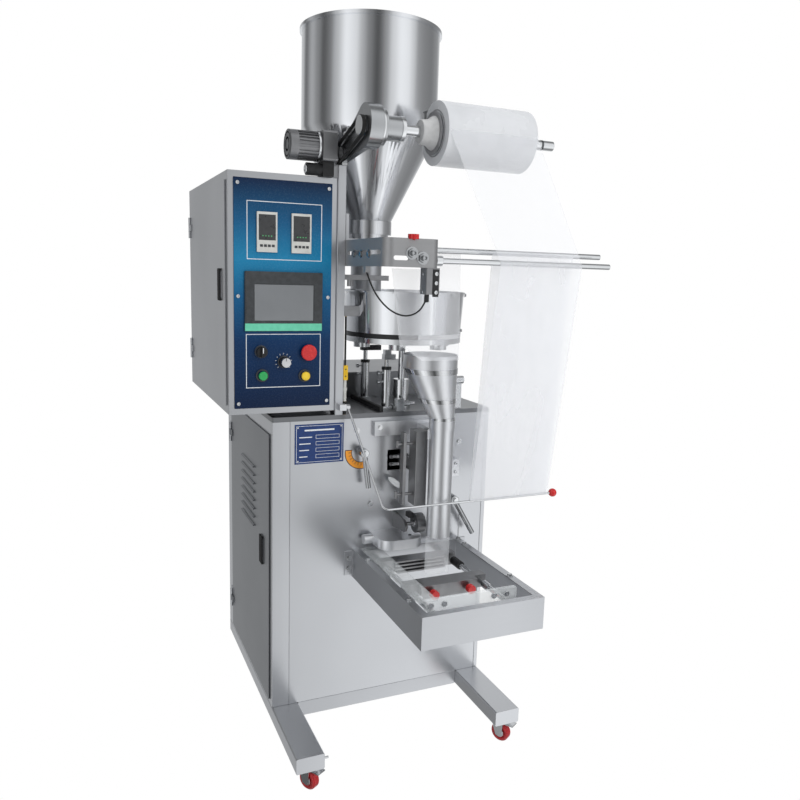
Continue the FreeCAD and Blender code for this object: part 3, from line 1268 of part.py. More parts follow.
def puller_bracket():
    # Bracket under the sealer that carries the film pull roller's axle.
    x0 = SEALER_LEFT - PULL_CHEEK_OFFSET
    x1 = PULL_ROLLER_X + PULL_ROLLER_WIDTH / 2 + PULL_AXLE_END
    z = PULL_ROLLER_Z
    points = [
        V(x0, 0, z - 26), V(x0, 0, z + 20), V(x0, SEALER_FRONT + 20, z + 14), V(x0, SEALER_FRONT + 2, z),
        V(x0, SEALER_FRONT + 12, z - 16),
    ]
    cheek = slab(points, V(PULL_CHEEK_THICKNESS, 0, 0))
    axle = rod(V(x0, PULL_ROLLER_Y, z), V(x1, PULL_ROLLER_Y, z), PULL_AXLE_RADIUS)
    return joined([cheek, axle])


def pull_roller():
    x0 = PULL_ROLLER_X - PULL_ROLLER_WIDTH / 2
    x1 = PULL_ROLLER_X + PULL_ROLLER_WIDTH / 2
    left = V(x0, PULL_ROLLER_Y, PULL_ROLLER_Z)
    right = V(x1, PULL_ROLLER_Y, PULL_ROLLER_Z)
    return pipe(left, right, PULL_ROLLER_RADIUS, PULL_AXLE_RADIUS + RUN_GAP)


def tongue():
    # Thick rest plate over the rear jaw, rounded in front, with a turned boss on its left.
    z0 = TONGUE_BOTTOM
    z1 = z0 + TONGUE_THICKNESS
    body = box(TONGUE_LEFT, TONGUE_RIGHT, -TONGUE_REACH, 0, z0, z1)
    corners = []
    for edge in body.Edges:
        upright = abs(edge.tangentAt(edge.FirstParameter).dot(AXIS_Z)) > 0.999
        if upright and abs(edge.CenterOfMass.y + TONGUE_REACH) < 1:
            corners.append(edge)
    body = body.makeFillet(34, corners)
    boss = rod(V(TONGUE_LEFT - 26, -24, z0 + 13), V(TONGUE_LEFT, -24, z0 + 13), 13)
    return joined([body, boss])


def seal_box():
    # Open tray round the jaws: folded rim, no floor, and an ear on each side bolted to the cabinet.
    z0 = SEAL_BOX_BOTTOM
    z1 = z0 + SEAL_BOX_HEIGHT
    rim = SEAL_BOX_RIM
    left = SEAL_BOX_LEFT
    right = SEAL_BOX_RIGHT
    front = SEAL_BOX_FRONT
    outer = box(left, right, front, 0, z0, z1)
    inner = box(left + SHEET, right - SHEET, front + SHEET, -SHEET, z0 - 1, z1 - SHEET)
    mouth = box(left + rim, right - rim, front + rim, -rim, z0, z1 + 1)
    rear_way = box(left + rim, right - rim, -rim - 1, 1, JAW_ROD_Z + 24, z1 + 1)
    tray = outer.cut(inner).cut(mouth).cut(rear_way)
    ears = []
    for x0 in (left - EAR_WIDTH, right):
        ears.append(box(x0, x0 + EAR_WIDTH, -SHEET, 0, z0 + 8, z1 - 4))
    tray = joined([tray] + ears)
    for x in (JAW_ROD_LEFT, JAW_ROD_RIGHT):
        tray = tray.cut(rod(V(x, -SHEET - 1, JAW_ROD_Z), V(x, 1, JAW_ROD_Z), JAW_ROD_RADIUS))
    return tray


def jaw_rods():
    rods = []
    for x in (JAW_ROD_LEFT, JAW_ROD_RIGHT):
        bar = rod(V(x, JAW_PLATE_FRONT + JAW_PLATE_THICKNESS, JAW_ROD_Z), V(x, 0, JAW_ROD_Z),
                  JAW_ROD_RADIUS)
        sleeve = rod(V(x, -60, JAW_ROD_Z), V(x, -SHEET, JAW_ROD_Z), JAW_ROD_RADIUS + 4)
        rods.append(joined([bar, sleeve]))
    return Part.makeCompound(rods)


def jaw_plate():
    # Clear end plate across the front ends of the jaw rods.
    front = JAW_PLATE_FRONT
    plate = box(JAW_ROD_LEFT - 26, JAW_ROD_RIGHT + 20, front, front + JAW_PLATE_THICKNESS,
                JAW_ROD_Z - JAW_HEIGHT * 0.4, JAW_ROD_Z + JAW_HEIGHT * 1.15)
    return softened(plate, AXIS_Y, 5)


def front_jaw():
    # Sliding jaw: two bushes on the rods, the heated bar between them and two red adjusting knobs.
    z0 = JAW_ROD_Z - JAW_HEIGHT / 2
    z1 = JAW_ROD_Z + JAW_HEIGHT / 2
    front = FRONT_JAW_REAR - FRONT_JAW_DEPTH
    bar = box(JAW_ROD_LEFT - 14, JAW_ROD_RIGHT + 14, front + 20, FRONT_JAW_REAR - 14, z0, z1)
    face = box(JAW_ROD_LEFT + 24, JAW_ROD_RIGHT - 24, FRONT_JAW_REAR - 14, FRONT_JAW_REAR, z0 + 6, z1 - 6)
    plate = box(JAW_ROD_LEFT + 20, JAW_ROD_RIGHT - 20, front, front + 20, z0, z1)
    body = joined([bar, face, plate])
    for x in (JAW_ROD_LEFT, JAW_ROD_RIGHT):
        body = body.cut(rod(V(x, front - 1, JAW_ROD_Z), V(x, FRONT_JAW_REAR + 1, JAW_ROD_Z),
                            JAW_ROD_RADIUS + RUN_GAP))
    return body


def red_knobs():
    front = FRONT_JAW_REAR - FRONT_JAW_DEPTH
    knobs = []
    middle = (JAW_ROD_LEFT + JAW_ROD_RIGHT) / 2
    for x in (middle - 50, middle + 50):
        stem = rod(V(x, front - 8, JAW_ROD_Z), V(x, front, JAW_ROD_Z), 4)
        head = rod(V(x, front - 24, JAW_ROD_Z), V(x, front - 8, JAW_ROD_Z), RED_KNOB_RADIUS)
        knobs.append(joined([stem, head]))
    return Part.makeCompound(knobs)


def rear_jaw():
    # Fixed ribbed jaw on a carrier that spans the two rods.
    z0 = JAW_ROD_Z - JAW_HEIGHT / 2
    z1 = JAW_ROD_Z + JAW_HEIGHT / 2
    rear = REAR_JAW_FRONT + REAR_JAW_DEPTH
    rib_rear = REAR_JAW_FRONT + REAR_JAW_RIB_DEPTH
    body = box(JAW_ROD_LEFT - REAR_JAW_OVERHANG, JAW_ROD_RIGHT + REAR_JAW_OVERHANG, rib_rear, rear, z0, z1)
    pieces = [body]
    rib = JAW_HEIGHT / (2 * REAR_JAW_RIBS - 1)
    for index in range(REAR_JAW_RIBS):
        low = z0 + index * 2 * rib
        pieces.append(box(JAW_ROD_LEFT + REAR_JAW_RIB_INSET, JAW_ROD_RIGHT - REAR_JAW_RIB_INSET,
                          REAR_JAW_FRONT, rib_rear, low, low + rib))
    body = joined(pieces)
    for x in (JAW_ROD_LEFT, JAW_ROD_RIGHT):
        body = body.cut(rod(V(x, REAR_JAW_FRONT, JAW_ROD_Z), V(x, rear + 1, JAW_ROD_Z), JAW_ROD_RADIUS))
    return body


def lever_post(x, z):
    return rod(V(x, -LEVER_STANDOFF, z), V(x, 0, z), LEVER_HUB_RADIUS * 0.6)


def lever(x, z, length, tilt):
    # Chrome lever: hub on its post and a round grip.
    y1 = -LEVER_STANDOFF * 0.4
    y0 = -LEVER_STANDOFF - LEVER_RADIUS * 2 - 2
    middle = (y0 - LEVER_STANDOFF) / 2
    hub = rod(V(x, y0, z), V(x, y1, z), LEVER_HUB_RADIUS)
    tip = V(x + length * math.sin(math.radians(tilt)), middle, z - length * math.cos(math.radians(tilt)))
    grip = rod(V(x, middle, z), tip, LEVER_RADIUS)
    body = joined([hub, grip])
    return body.cut(rod(V(x, -LEVER_STANDOFF - SEAT_GAP, z), V(x, 0, z), LEVER_HUB_RADIUS * 0.6 + RUN_GAP))


def dancer_pivot():
    block = box(COLUMN_RIGHT - 14, DANCER_PIVOT_X - 2, DANCER_PIVOT_Y - 7, COLUMN_FRONT, DANCER_PIVOT_Z - 8,
                DANCER_PIVOT_Z + 8)
    pin = rod(V(DANCER_PIVOT_X - 2, DANCER_PIVOT_Y, DANCER_PIVOT_Z), V(DANCER_PIVOT_X + 9, DANCER_PIVOT_Y,
              DANCER_PIVOT_Z), 3)
    return joined([block, pin])


def dancer_bar():
    # Thin rod bent forward and down from its eye, then straight across under the film.
    eye = rod(V(DANCER_PIVOT_X - 1.5, DANCER_PIVOT_Y, DANCER_PIVOT_Z), V(DANCER_PIVOT_X + 8.5,
              DANCER_PIVOT_Y,
              DANCER_PIVOT_Z), 7)
    top = V(DANCER_PIVOT_X + 4, DANCER_PIVOT_Y, DANCER_PIVOT_Z)
    elbow = V(DANCER_CORNER_X, DANCER_Y, DANCER_Z)
    tip = V(DANCER_END, DANCER_Y, DANCER_Z)
    body = joined([eye, swept_rod([top, elbow, tip], DANCER_RADIUS, DANCER_BEND)])
    bore = rod(V(DANCER_PIVOT_X - 3, DANCER_PIVOT_Y, DANCER_PIVOT_Z), V(DANCER_PIVOT_X + 12, DANCER_PIVOT_Y,
               DANCER_PIVOT_Z), 3 + RUN_GAP)
    return body.cut(bore)


def dancer_ball():
    ball = Part.makeSphere(BALL_RADIUS, V(DANCER_END + BALL_RADIUS - 2, DANCER_Y, DANCER_Z))
    return ball.cut(rod(V(DANCER_END - 5, DANCER_Y, DANCER_Z), V(DANCER_END, DANCER_Y, DANCER_Z),
                    DANCER_RADIUS))


def web(left_low, y_low, z_low, left_high, y_high, z_high, width_low, width_high):
    points = [V(left_low, y_low, z_low), V(left_low + width_low, y_low, z_low),
              V(left_high + width_high, y_high, z_high), V(left_high, y_high, z_high)]
    return slab(points, V(0, -FILM_SHEET, 0))


def film_web():
    # Upper run from the roll to the lower rod, and the last run from the upper rod to the funnel.
    gap = SEAT_GAP
    upper = web(ROD_WEB_LEFT, LOWER_ROD_Y - ROD_RADIUS - gap, LOWER_ROD_Z, ROLL_WEB_LEFT,
                ROLL_Y - ROLL_RADIUS - gap, ROLL_Z, WEB_WIDTH, WEB_WIDTH)
    return Part.makeCompound([upper, last_run()])


def last_run():
    # Folded film from behind the upper rod down to the funnel's front, passing under the bracket.
    high_y = UPPER_ROD_Y + ROD_RADIUS + SEAT_GAP + FILM_SHEET
    low_y = FUNNEL_Y - FUNNEL_RADIUS - 3
    low_z = FUNNEL_TOP - 8
    under = BRACKET_BOTTOM - 3
    outline = (
        (BRACKET_RIGHT + 20, UPPER_ROD_Z), (FUNNEL_X + 25, UPPER_ROD_Z), (FUNNEL_X + 43, low_z),
        (FUNNEL_X - 59, low_z), (FUNNEL_X - 121, low_z + 40), (FUNNEL_X - 153, under), (BRACKET_RIGHT + 2,
            under),
    )
    slope = (high_y - low_y) / (UPPER_ROD_Z - low_z)
    return slab([V(x, low_y + slope * (z - low_z), z) for x, z in outline], V(0, -FILM_SHEET, 0))


def film_loop():
    # The two runs that hang round the dancer bar.
    gap = SEAT_GAP
    front = web(DANCER_WEB_LEFT, DANCER_Y - DANCER_RADIUS - gap, DANCER_Z, ROD_WEB_LEFT,
                LOWER_ROD_Y - ROD_RADIUS - gap, LOWER_ROD_Z - gap, WEB_WIDTH, WEB_WIDTH)
    back = web(DANCER_WEB_LEFT, DANCER_Y + DANCER_RADIUS + gap + FILM_SHEET, DANCER_Z, ROD_WEB_LEFT,
               UPPER_ROD_Y - ROD_RADIUS - gap, UPPER_ROD_Z, WEB_WIDTH, WEB_WIDTH)
    return Part.makeCompound([front, back])


def bag_film():
    # Flattened film tube that hangs from the forming tube down between the jaws.
    x0 = TUBE_X - BAG_WIDTH / 2
    sheet = box(x0, x0 + BAG_WIDTH, TUBE_Y - 1, TUBE_Y + 1, BAG_BOTTOM, TUBE_BOTTOM - SEAT_GAP)
    return sheet


def parts():
    places = castor_places()
    buttons = button_places()
    lever_pins = Part.makeCompound([lever_post(LEFT_LEVER_X, LEFT_LEVER_Z), lever_post(RIGHT_LEVER_X,
                                   RIGHT_LEVER_Z)])
    nodes = {
        "skids": Part.makeCompound([skid(0), skid(CABINET_WIDTH - SKID_WIDTH)]),
        "cross_rails": cross_rails(),
        "cabinet_frame": cabinet_frame(),
        "front_panel": front_panel(),
        "body_panels": Part.makeCompound([right_panel(), rear_panel(), floor_pan()]),
        "top_deck": top_deck(),
        "hinge_leaves": Part.makeCompound([
            fixed_hinges(0, CABINET_DOOR_REAR, CABINET_DOOR_BOTTOM, CABINET_DOOR_TOP),
            fixed_hinges(BOX_LEFT, BOX_DOOR_REAR, BOX_DOOR_BOTTOM, BOX_DOOR_TOP),
        ]),
        "control_box": control_box(),
        "fascia": fascia(),
        "instruments": Part.makeCompound([touch_screen(), temperature_controllers()]),
        "column": column(),
        "film_arm": film_arm(),
        "feed_motor": feed_motor(),
        "motor_clamp": motor_clamp(),
        "feed_belt": feed_belt(),
        "film_bracket": joined([film_bracket(), cord_clip()]),
        "guide_rods": Part.makeCompound([guide_rods(), jaw_rods()]),
        "film_eye": film_eye(),
        "sensor_cord": sensor_cord(),
        "table_switch": joined([table_switch(), switch_cable()]),
        "hopper": joined([hopper(), hopper_collar()]),
        "hopper_saddle": joined([hopper_saddle(), hopper_throat()]),
        "turntable_hood": turntable_hood(),
        "hood_fittings": Part.makeCompound([hood_seal(), hood_arm(), scraper_beam()]),
        "support_posts": Part.makeCompound([spindle_bearing(), adjuster_posts(), stop_block(),
                                           drive_stand()]),
        "comb_bar": comb_bar(),
        "forming_tube": joined([forming_tube(), funnel()]),
        "panel_fittings": Part.makeCompound([tube_bracket(), guide_bracket(), tongue(), lever_pins,
                                            dancer_pivot()]),
        "back_sealer": Part.makeCompound([back_sealer(), puller_bracket()]),
        "seal_box": seal_box(),
        "jaw_plate": jaw_plate(),
        "rear_jaw": rear_jaw(),
        "film_web": Part.makeCompound([film_web(), bag_film()]),
        "film_loop": film_loop(),
        "cabinet_door": cabinet_door(),
        "control_box_door": control_box_door(),
        "roll_shaft": joined([roll_shaft(), roll_collars()]),
        "film_roll": film_roll(),
        "motor_pulley": motor_pulley(),
        "turntable": turntable(),
        "front_jaw": front_jaw(),
        "red_knobs": red_knobs(),
        "pull_roller": pull_roller(),
        "left_lever": lever(LEFT_LEVER_X, LEFT_LEVER_Z, LEFT_LEVER_LENGTH, LEFT_LEVER_TILT),
        "right_lever": lever(RIGHT_LEVER_X, RIGHT_LEVER_Z, RIGHT_LEVER_LENGTH, RIGHT_LEVER_TILT),
        "dancer_bar": joined([dancer_bar(), dancer_ball()]),
        "selector_knob": knob(buttons["selector_knob"], KNOB_RADIUS),
        "speed_knob": knob(buttons["speed_knob"], KNOB_RADIUS),
        "start_button": button(buttons["start_button"], BUTTON_CAP_RADIUS, BUTTON_TRAVEL),
        "jog_button": button(buttons["jog_button"], BUTTON_CAP_RADIUS, BUTTON_TRAVEL),
        "emergency_stop": button(buttons["emergency_stop"], STOP_CAP_RADIUS, BUTTON_TRAVEL),
    }
    for corner, place in places.items():
        nodes["castor_fork_" + corner] = castor_fork(place)
        nodes["castor_wheel_" + corner] = castor_wheel(place)
    return nodes


def footprint_middle(nodes):
    whole = Part.makeCompound(list(nodes.values())).optimalBoundingBox(False)
    return V((whole.XMin + whole.XMax) / 2, (whole.YMin + whole.YMax) / 2, whole.ZMin)


if __name__ == "__main__":
    os.makedirs("parts", exist_ok=True)
    machine = parts()
    origin = footprint_middle(machine)
    print("origin", origin)
    for name, shape in machine.items():
        shape.translate(-origin)
        shape.exportStep("parts/" + name + ".step")
        print(name, len(shape.Solids), shape.isValid())
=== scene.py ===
import json
import math

import bpy
from mathutils import Matrix, Vector


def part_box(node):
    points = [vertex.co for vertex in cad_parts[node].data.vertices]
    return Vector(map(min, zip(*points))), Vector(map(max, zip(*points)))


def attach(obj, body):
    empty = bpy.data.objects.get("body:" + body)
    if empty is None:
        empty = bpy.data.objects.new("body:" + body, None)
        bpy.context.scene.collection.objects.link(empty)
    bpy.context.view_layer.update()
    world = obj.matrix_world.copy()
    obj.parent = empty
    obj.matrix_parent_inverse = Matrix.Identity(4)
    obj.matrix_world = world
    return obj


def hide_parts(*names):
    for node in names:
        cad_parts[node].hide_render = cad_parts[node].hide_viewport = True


bl_info = {
    "name": "Granule Packing Machine",
    "version": (1, 0, 0),
    "blender": (4, 5, 0),
    "location": "3D View > Sidebar > Packing Machine",
    "description": "Finishes and small parts for a vertical granule packing machine",
    "category": "Object",
}

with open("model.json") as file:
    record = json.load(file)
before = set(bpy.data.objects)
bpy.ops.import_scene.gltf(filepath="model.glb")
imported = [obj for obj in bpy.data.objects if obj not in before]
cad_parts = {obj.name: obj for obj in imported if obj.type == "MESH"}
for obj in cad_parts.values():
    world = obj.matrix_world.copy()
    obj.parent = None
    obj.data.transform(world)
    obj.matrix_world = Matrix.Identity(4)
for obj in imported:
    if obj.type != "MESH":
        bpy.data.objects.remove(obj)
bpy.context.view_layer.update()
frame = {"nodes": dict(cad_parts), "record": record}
NODES = frame["nodes"]
BODY_OF = {node: body for body, group in frame["record"]["behaviour"]["bodies"].items() for node in group}
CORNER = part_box("cabinet_frame")[0]
MM = 0.001
FINISHES = {}

# Axes of round parts and corners of the machine drawing, in millimetres.
DRUM_X, DRUM_Y = 377, 62
TUBE_X, TUBE_Y = 411, -130
FUNNEL_SHIFT_X, FUNNEL_SHIFT_Y, FUNNEL_RISE = -22, 36, 131
SCALE_X, SCALE_Z = 240, 801
SCREW_ROWS = (945, 1207, 1471)

# Tones of the studio round the machine, by direction in degrees, which polished metal reflects.
STUDIO_BANDS = (
    (-180, 0.2), (-167, 0.55), (-150, 1.0), (-135, 0.85), (-125, 0.5), (-114, 0.24), (-99, 0.08),
    (-85, 0.35), (-75, 0.75), (-60, 1.0), (-48, 0.95), (-38, 0.7), (-25, 0.32), (-8, 0.25), (8, 0.22),
    (29, 0.3), (62, 0.75), (78, 0.75), (101, 0.56), (118, 0.16), (139, 0.45), (154, 0.27), (168, 0.1),
    (180, 0.2),
)
LOW_DIRECTION = -0.6
LOW_GAIN = 1.2


def spot(x, y, z):
    """A place measured in millimetres from the cabinet's front left corner at floor level."""
    return Vector((CORNER[0] + x * MM, CORNER[1] + y * MM, z * MM))


# Selecting and shaping


def clear_selection():
    if bpy.context.mode != "OBJECT":
        bpy.ops.object.mode_set(mode="OBJECT")
    bpy.ops.object.select_all(action="DESELECT")


def only(piece):
    clear_selection()
    piece.select_set(True)
    bpy.context.view_layer.objects.active = piece


def settle(piece):
    """Leaves the piece at the origin with its place in its mesh."""
    only(piece)
    bpy.ops.object.transform_apply(location=True, rotation=True, scale=True)
    return piece


def apply_modifiers(piece):
    only(piece)
    for modifier in list(piece.modifiers):
        bpy.ops.object.modifier_apply(modifier=modifier.name)


def rounded_edges(piece, width, segments=2, angle=40.0):
    bevel = piece.modifiers.new("edges", "BEVEL")
    bevel.width = width
    bevel.segments = segments
    bevel.limit_method = "ANGLE"
    bevel.angle_limit = math.radians(angle)
    apply_modifiers(piece)


def smooth(piece, angle=35.0):
    """Shades the rounds smooth and keeps the flat faces beside them flat."""
    only(piece)
    bpy.ops.object.shade_smooth_by_angle(angle=math.radians(angle))
    even = piece.modifiers.new("even faces", "WEIGHTED_NORMAL")
    even.mode = "FACE_AREA"
    even.keep_sharp = True
    apply_modifiers(piece)


def paint(piece, finish):
    piece.data.materials.clear()
    piece.data.materials.append(FINISHES[finish])


def fit(piece, name, finish, body, angle=35.0):
    """Names, smooths and paints a finished piece and lets it ride on its body."""
    piece.name = name
    piece.data.name = name
    smooth(piece, angle)
    paint(piece, finish)
    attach(piece, body)
    return piece


def dressed(node, finish, bevel=0.0, angle=35.0):
    """A smooth copy of a frame node that stands for it."""
    source = NODES[node]
    piece = source.copy()
    piece.data = source.data.copy()
    piece.parent = None
    for key in list(piece.keys()):
        del piece[key]
    bpy.context.scene.collection.objects.link(piece)
    only(piece)
    bpy.ops.object.mode_set(mode="EDIT")
    bpy.ops.mesh.select_all(action="SELECT")
    bpy.ops.mesh.remove_doubles(threshold=0.00001)
    bpy.ops.mesh.dissolve_limited(angle_limit=math.radians(0.5))
    bpy.ops.object.mode_set(mode="OBJECT")
    if bevel:
        rounded_edges(piece, bevel)
    fit(piece, node + "_skin", finish, BODY_OF[node], angle)
    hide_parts(node)
    return piece


def block(low, high, bevel=0.0, segments=2):
    clear_selection()
    centre = (low + high) / 2
    bpy.ops.mesh.primitive_cube_add(size=1, location=centre)
    piece = bpy.context.object
    piece.scale = [abs(high[i] - low[i]) for i in range(3)]
    settle(piece)
    if bevel:
        rounded_edges(piece, bevel, segments)
    return piece


def round_bar(start, end, radius, sides=32, bevel=0.0):
    clear_selection()
    path = end - start
    turn = path.to_track_quat("Z", "Y").to_euler()
    bpy.ops.mesh.primitive_cylinder_add(vertices=sides, radius=radius, depth=path.length,
                                        location=(start + end) / 2, rotation=turn)
    piece = settle(bpy.context.object)
    if bevel:
        rounded_edges(piece, bevel)
    return piece


def turned(profile, centre, steps=96, closed=False, axis="Z"):
    """A part turned on a lathe from radius and height pairs, in metres, round an upright or level axis."""
    clear_selection()
    bpy.ops.mesh.primitive_plane_add(size=0.001, location=(0, 0, 0))
    piece = bpy.context.object
    bpy.ops.object.mode_set(mode="EDIT")
    bpy.ops.mesh.select_mode(type="VERT")
    bpy.ops.mesh.select_all(action="SELECT")
    bpy.ops.mesh.merge(type="CENTER")
    start = Vector((profile[0][0], 0, profile[0][1]))
    bpy.ops.transform.translate(value=start)
    last = start
    route = profile[1:] + ([profile[0]] if closed else [])
    for radius, height in route:
        here = Vector((radius, 0, height))
        bpy.ops.mesh.extrude_vertices_move(TRANSFORM_OT_translate={"value": here - last})
        last = here
    bpy.ops.mesh.select_all(action="SELECT")
    bpy.ops.mesh.spin(steps=steps, angle=2 * math.pi, center=(0, 0, 0), axis=(0, 0, 1))
    bpy.ops.mesh.select_all(action="SELECT")
    bpy.ops.mesh.remove_doubles(threshold=0.000005)
    bpy.ops.mesh.normals_make_consistent(inside=False)
    bpy.ops.object.mode_set(mode="OBJECT")
    if axis == "X":
        piece.rotation_euler = (0, math.pi / 2, 0)
    if axis == "Y":
        piece.rotation_euler = (-math.pi / 2, 0, 0)
    piece.location = centre
    return settle(piece)


def merged(pieces):
    clear_selection()
    for piece in pieces:
        piece.select_set(True)
    bpy.context.view_layer.objects.active = pieces[0]
    bpy.ops.object.join()
    return bpy.context.object


def copied(piece, offset):
    twin = piece.copy()
    twin.data = piece.data.copy()
    bpy.context.scene.collection.objects.link(twin)
    twin.location = offset
    return settle(twin)


def ring_of(piece, centre, axis, angles):
    """The piece and its copies turned about a centre, merged."""
    copies = [piece]
    for angle in angles:
        twin = copied(piece, (0, 0, 0))
        there = Matrix.Translation(centre)
        twin.matrix_world = there @ Matrix.Rotation(angle, 4, axis) @ there.inverted()
        copies.append(settle(twin))
    return merged(copies)


def kept_side(piece, place, way):
    """Cuts a piece by a plane and keeps the side that the way points from."""
    only(piece)
    bpy.ops.object.mode_set(mode="EDIT")
    bpy.ops.mesh.select_all(action="SELECT")
    bpy.ops.mesh.bisect(plane_co=place, plane_no=way, use_fill=True, clear_outer=True)
    bpy.ops.object.mode_set(mode="OBJECT")
    return piece


def slanted_band(low, low_radius, high, high_radius, wall):
    """A thin band round a leaning cone, with level rims."""
    clear_selection()
    bpy.ops.mesh.primitive_circle_add(vertices=96, radius=low_radius, location=low)
    piece = settle(bpy.context.object)
    bpy.ops.object.mode_set(mode="EDIT")
    bpy.ops.mesh.select_all(action="SELECT")
    bpy.ops.mesh.extrude_edges_move(TRANSFORM_OT_translate={"value": high - low})
    grow = high_radius / low_radius
    bpy.ops.transform.resize(value=(grow, grow, 1), center_override=high)
    bpy.ops.mesh.select_all(action="SELECT")
    bpy.ops.mesh.normals_make_consistent(inside=False)
    bpy.ops.object.mode_set(mode="OBJECT")
    shell = piece.modifiers.new("wall", "SOLIDIFY")
    shell.thickness = wall
    shell.offset = 1
    apply_modifiers(piece)
    return piece


AHEAD = Vector((0, -1, 0))
LEFT = Vector((-1, 0, 0))
RIGHT = Vector((1, 0, 0))
UP = Vector((0, 0, 1))
BACK = Vector((0, 1, 0))


def screw_head(place, way, radius, height, sides=24):
    """A round head that stands up from its seat, with a hollow in its crown."""
    piece = round_bar(place, place + way * height, radius, sides)
    bpy.ops.object.mode_set(mode="EDIT")
    bpy.ops.mesh.select_all(action="DESELECT")
    bpy.ops.object.mode_set(mode="OBJECT")
    for face in piece.data.polygons:
        face.select = face.normal.dot(way) > 0.9
    bpy.ops.object.mode_set(mode="EDIT")
    bpy.ops.mesh.select_mode(type="FACE")
    bpy.ops.mesh.inset(thickness=radius * 0.42, depth=0)
    bpy.ops.mesh.inset(thickness=radius * 0.06, depth=-height * 0.45)
    bpy.ops.object.mode_set(mode="OBJECT")
    rounded_edges(piece, min(radius, height) * 0.18, 2, 50.0)
    return piece


def hex_head(place, way, radius, height):
    """A washer with a hexagon head on it."""
    washer = round_bar(place, place + way * height * 0.25, radius * 1.35, 32)
    head = round_bar(place + way * height * 0.25, place + way * height, radius, 6)
    rounded_edges(head, height * 0.08, 2, 50.0)
    return merged([washer, head])


def knurled_head(place, way, radius, height, teeth=28):
    """A round knob with a toothed rim."""
    piece = round_bar(place, place + way * height, radius, teeth * 2)
    for index, face in enumerate(piece.data.polygons):
        face.select = abs(face.normal.dot(way)) < 0.5 and index % 2 == 0
    bpy.ops.object.mode_set(mode="EDIT")
    bpy.ops.mesh.select_mode(type="FACE")
    bpy.ops.mesh.extrude_faces_move(TRANSFORM_OT_shrink_fatten={"value": -radius * 0.06})
    bpy.ops.object.mode_set(mode="OBJECT")
    return piece


def box_mm(x0, x1, y0, y1, z0, z1, bevel=0.0):
    return block(spot(x0, y0, z0), spot(x1, y1, z1), bevel)


def outline_frame(x0, x1, z0, z1, face_y, line, proud):
    """Four thin printed strips that make a frame on a front face."""
    return merged([
        box_mm(x0, x1, face_y - proud, face_y, z1 - line, z1),
        box_mm(x0, x1, face_y - proud, face_y, z0, z0 + line),
        box_mm(x0, x0 + line, face_y - proud, face_y, z0 + line, z1 - line),
        box_mm(x1 - line, x1, face_y - proud, face_y, z0 + line, z1 - line),
    ])


def coil(start, end, radius, wire, turns):
    """A helical spring wound between two places."""
    path = end - start
    curve = bpy.data.curves.new("coil", "CURVE")
    curve.dimensions = "3D"
    spline = curve.splines.new("POLY")
    steps = turns * 14
    spline.points.add(steps)
    side = path.orthogonal().normalized()
    other = path.normalized().cross(side)
    for index, point in enumerate(spline.points):
        angle = 2 * math.pi * turns * index / steps
        place = start + path * (index / steps) + (side * math.cos(angle) + other * math.sin(angle)) * radius
        point.co = (*place, 1)
    curve.bevel_depth = wire
    curve.bevel_resolution = 2
    curve.use_fill_caps = True
    piece = bpy.data.objects.new("coil", curve)
    bpy.context.scene.collection.objects.link(piece)
    only(piece)
    bpy.ops.object.convert(target="MESH")
    return bpy.context.object


# Finishes


def blank_finish(name):
    material = bpy.data.materials.new(name)
    material.use_nodes = True
    tree = material.node_tree
    FINISHES[name] = material
    return tree, tree.nodes["Principled BSDF"]


def scaled_place(tree, scale):
    place = tree.nodes.new("ShaderNodeTexCoord")
    mapping = tree.nodes.new("ShaderNodeMapping")
    mapping.inputs["Scale"].default_value = scale
    tree.links.new(place.outputs["Object"], mapping.inputs["Vector"])
    return mapping.outputs["Vector"]


def noise_of(tree, scale, size=1.0, detail=4.0):
    noise = tree.nodes.new("ShaderNodeTexNoise")
    noise.inputs["Scale"].default_value = size
    noise.inputs["Detail"].default_value = detail
    tree.links.new(scaled_place(tree, scale), noise.inputs["Vector"])
    return noise.outputs["Fac"]


def between(tree, value, low, high):
    span = tree.nodes.new("ShaderNodeMapRange")
    span.inputs["From Min"].default_value = 0.3
    span.inputs["From Max"].default_value = 0.7
    span.inputs["To Min"].default_value = low
    span.inputs["To Max"].default_value = high
    tree.links.new(value, span.inputs["Value"])
    return span.outputs["Result"]


def mixed(tree, value, dark, light):
    ramp = tree.nodes.new("ShaderNodeValToRGB")
    ramp.color_ramp.elements[0].position = 0.3
    ramp.color_ramp.elements[0].color = (*dark, 1)
    ramp.color_ramp.elements[1].position = 0.7
    ramp.color_ramp.elements[1].color = (*light, 1)
    tree.links.new(value, ramp.inputs["Fac"])
    return ramp.outputs["Color"]


def bumped(tree, shader, height, strength, distance=0.0005):
    bump = tree.nodes.new("ShaderNodeBump")
    bump.inputs["Strength"].default_value = strength
    bump.inputs["Distance"].default_value = distance
    tree.links.new(height, bump.inputs["Height"])
    tree.links.new(bump.outputs["Normal"], shader.inputs["Normal"])


def brushed_steel(name, grain, dark, light, rough_low, rough_high):
    """Stainless sheet with a fine grain that runs one way and a faint cloudy tone."""
    tree, shader = blank_finish(name)
    shader.inputs["Metallic"].default_value = 1.0
    fine = noise_of(tree, grain, 1.0, 3.0)
    cloud = noise_of(tree, (3, 3, 3), 1.0, 2.0)
    tree.links.new(mixed(tree, cloud, dark, light), shader.inputs["Base Color"])
    tree.links.new(between(tree, fine, rough_low, rough_high), shader.inputs["Roughness"])


